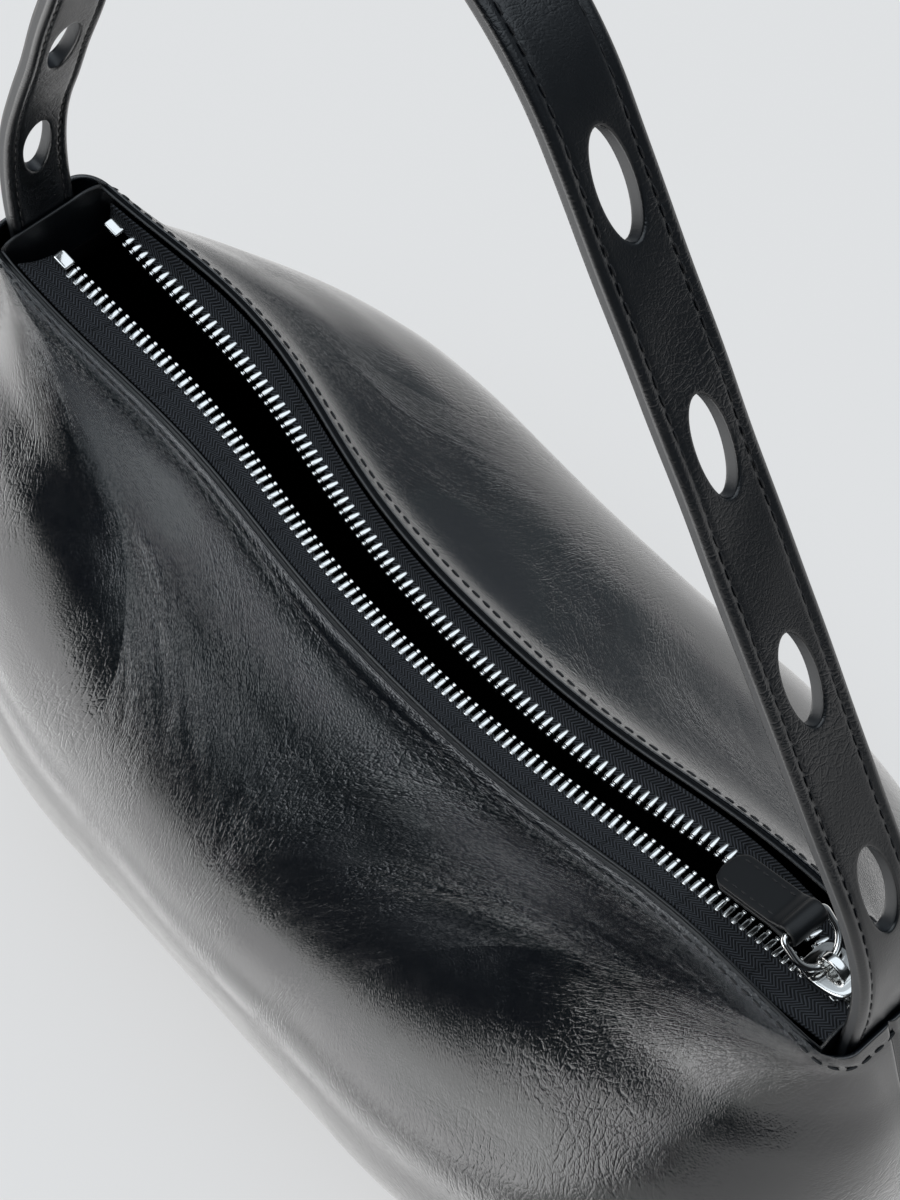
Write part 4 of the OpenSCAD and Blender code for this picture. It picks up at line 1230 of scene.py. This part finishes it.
# %% [markdown]
# ## Camera
#
# The camera looks down over the right front corner of the bag with a long lens. It is so
# near that the belly, the right end and the top of the strap leave the picture.

# %% Camera
AZIMUTH, ELEVATION = math.radians(48.24), math.radians(59.1)
CAMERA_PLACE, FOCAL = (0.2259, -0.1946, 0.6487), 75.43
level = math.cos(ELEVATION)
back = Vector((math.sin(AZIMUTH) * level, -math.cos(AZIMUTH) * level, math.sin(ELEVATION)))
right = Vector((math.cos(AZIMUTH), math.sin(AZIMUTH), 0))
lens = bpy.data.cameras.new("camera")
lens.lens, lens.sensor_width, lens.sensor_fit = FOCAL, 36.0, "AUTO"
lens.clip_start, lens.clip_end = 0.01, 50
camera = add_object("camera", lens)
turn = Matrix((right, back.cross(right), back)).transposed()
camera.matrix_world = Matrix.Translation(CAMERA_PLACE) @ turn.to_4x4()
bpy.context.scene.camera = camera
print("camera", round(Vector(CAMERA_PLACE).length, 3), "m from the middle of the base")

# %% [markdown]
# ## A room of soft light
#
# The room is a bright ceiling over dim walls, darkest towards the front left. It lights
# the bag as evenly as a tent would, and each part of the leather mirrors its own part of
# the room: the shoulders show the ceiling, the turn of the front shows the dark wall as a
# band, and the belly shows the pale floor. Two cards in front, one standing and one lying,
# show only in reflections and brighten the belly as white boards in a studio do. The
# camera and reflections see the floor as plain paper, and a share of real shading keeps
# the shadow on it. The camera sees the same plain paper past the floor's edge.

# %% Floor and light
FLOOR_TONE, PAPER, FLOOR_HALF, SEEN_SHARE = 0.82, 0.765, 3, 0.7
floor_paint, tree, shader = node_material("floor_paint", (0.80, 0.80, 0.80), 0.9, specular=0.0)
path_kind = add_node(tree, "ShaderNodeLightPath").outputs
share = maths(tree, "MULTIPLY_ADD", path_kind["Is Camera Ray"], SEEN_SHARE, path_kind["Is Glossy Ray"])
glow = maths(tree, "MULTIPLY_ADD", path_kind["Is Camera Ray"], FLOOR_TONE - PAPER, PAPER)
paper = add_node(tree, "ShaderNodeEmission", {"Color": (1, 1, 1, 1), "Strength": glow}).outputs[0]
both = add_node(tree, "ShaderNodeMixShader", {0: share, 1: shader.outputs[0], 2: paper}).outputs[0]
tree.links.new(both, tree.nodes["Material Output"].inputs["Surface"])
mesh = bpy.data.meshes.new("floor")
corners = [(-1, -1), (1, -1), (1, 1), (-1, 1)]
mesh.from_pydata([(x * FLOOR_HALF, y * FLOOR_HALF, 0) for x, y in corners], [], [(0, 1, 2, 3)])
mesh.materials.append(floor_paint)
floor = add_object("floor", mesh)


def soft_panel(name, place, aim, size, radiance):
    """Square-edged soft lamp; its power follows from its area."""
    lamp = bpy.data.lights.new(name, "AREA")
    lamp.shape, lamp.size, lamp.size_y = "RECTANGLE", *size
    lamp.energy = radiance * math.pi * size[0] * size[1]
    thing = add_object(name, lamp)
    thing.location = place
    thing.rotation_euler = (Vector(aim) - Vector(place)).to_track_quat("-Z", "Y").to_euler()
    thing.visible_camera = False
    return thing


standing, lying = Vector((-0.107, -0.273, 0.09)), Vector((-0.1, -0.2, 0.002))
low_card = soft_panel("low_card", standing, standing + Vector((0.38, 0.925, 0)), (0.54, 0.18), 2.15)
lying_card = soft_panel("lying_card", lying, lying + Vector((0, 0, 1)), (0.42, 0.16), 1.15)
low_card.visible_diffuse = lying_card.visible_diffuse = False
soft_panel("high_panel", (-0.75, -0.75, 1.9), (0, 0, 0.1), (1.3, 0.9), 1.5)

world = bpy.data.worlds.new("studio")
bpy.context.scene.world = world
world.use_nodes = True
sky, air = world.node_tree, world.node_tree.nodes["Background"]
heading = add_node(sky, "ShaderNodeTexCoord").outputs["Generated"]


def toward(direction, start, end):
    """0 to 1 as the room's direction turns from one share of a heading to another."""
    along = add_node(sky, "ShaderNodeVectorMath", {0: heading, 1: direction}, operation="DOT_PRODUCT")
    return add_node(sky, "ShaderNodeMapRange", {
        "Value": along.outputs["Value"], "From Min": start, "From Max": end},
        interpolation_type="SMOOTHSTEP").outputs[0]


def tone_mix(share, a, b):
    """From tone a to tone b by a share."""
    return add_node(sky, "ShaderNodeMix", {0: share, 2: a, 3: b}, data_type="FLOAT").outputs[0]


WALL, BACK_WALL, DARK_WALL, CEILING = 0.10, 0.22, 0.004, 1.2
COOL, PLAIN = (0.90, 1.0, 1.09, 1), (1, 1, 1, 1)
wall = tone_mix(toward((-0.3, 0.954, 0), 0.2, 0.8), WALL, BACK_WALL)
wall = tone_mix(toward((-0.38, -0.925, 0), 0.1, 0.6), wall, DARK_WALL)
room = tone_mix(toward((0, 0, 1), 0.62, 0.76), wall, CEILING)
seen = add_node(sky, "ShaderNodeLightPath").outputs["Is Camera Ray"]
room = tone_mix(seen, room, PAPER)
sky.links.new(room, air.inputs["Strength"])
tint = add_node(sky, "ShaderNodeMix", {0: seen, 6: COOL, 7: PLAIN}, data_type="RGBA").outputs[2]
sky.links.new(tint, air.inputs["Color"])
bpy.context.scene.view_settings.view_transform = "Standard"
print("lights and camera placed")
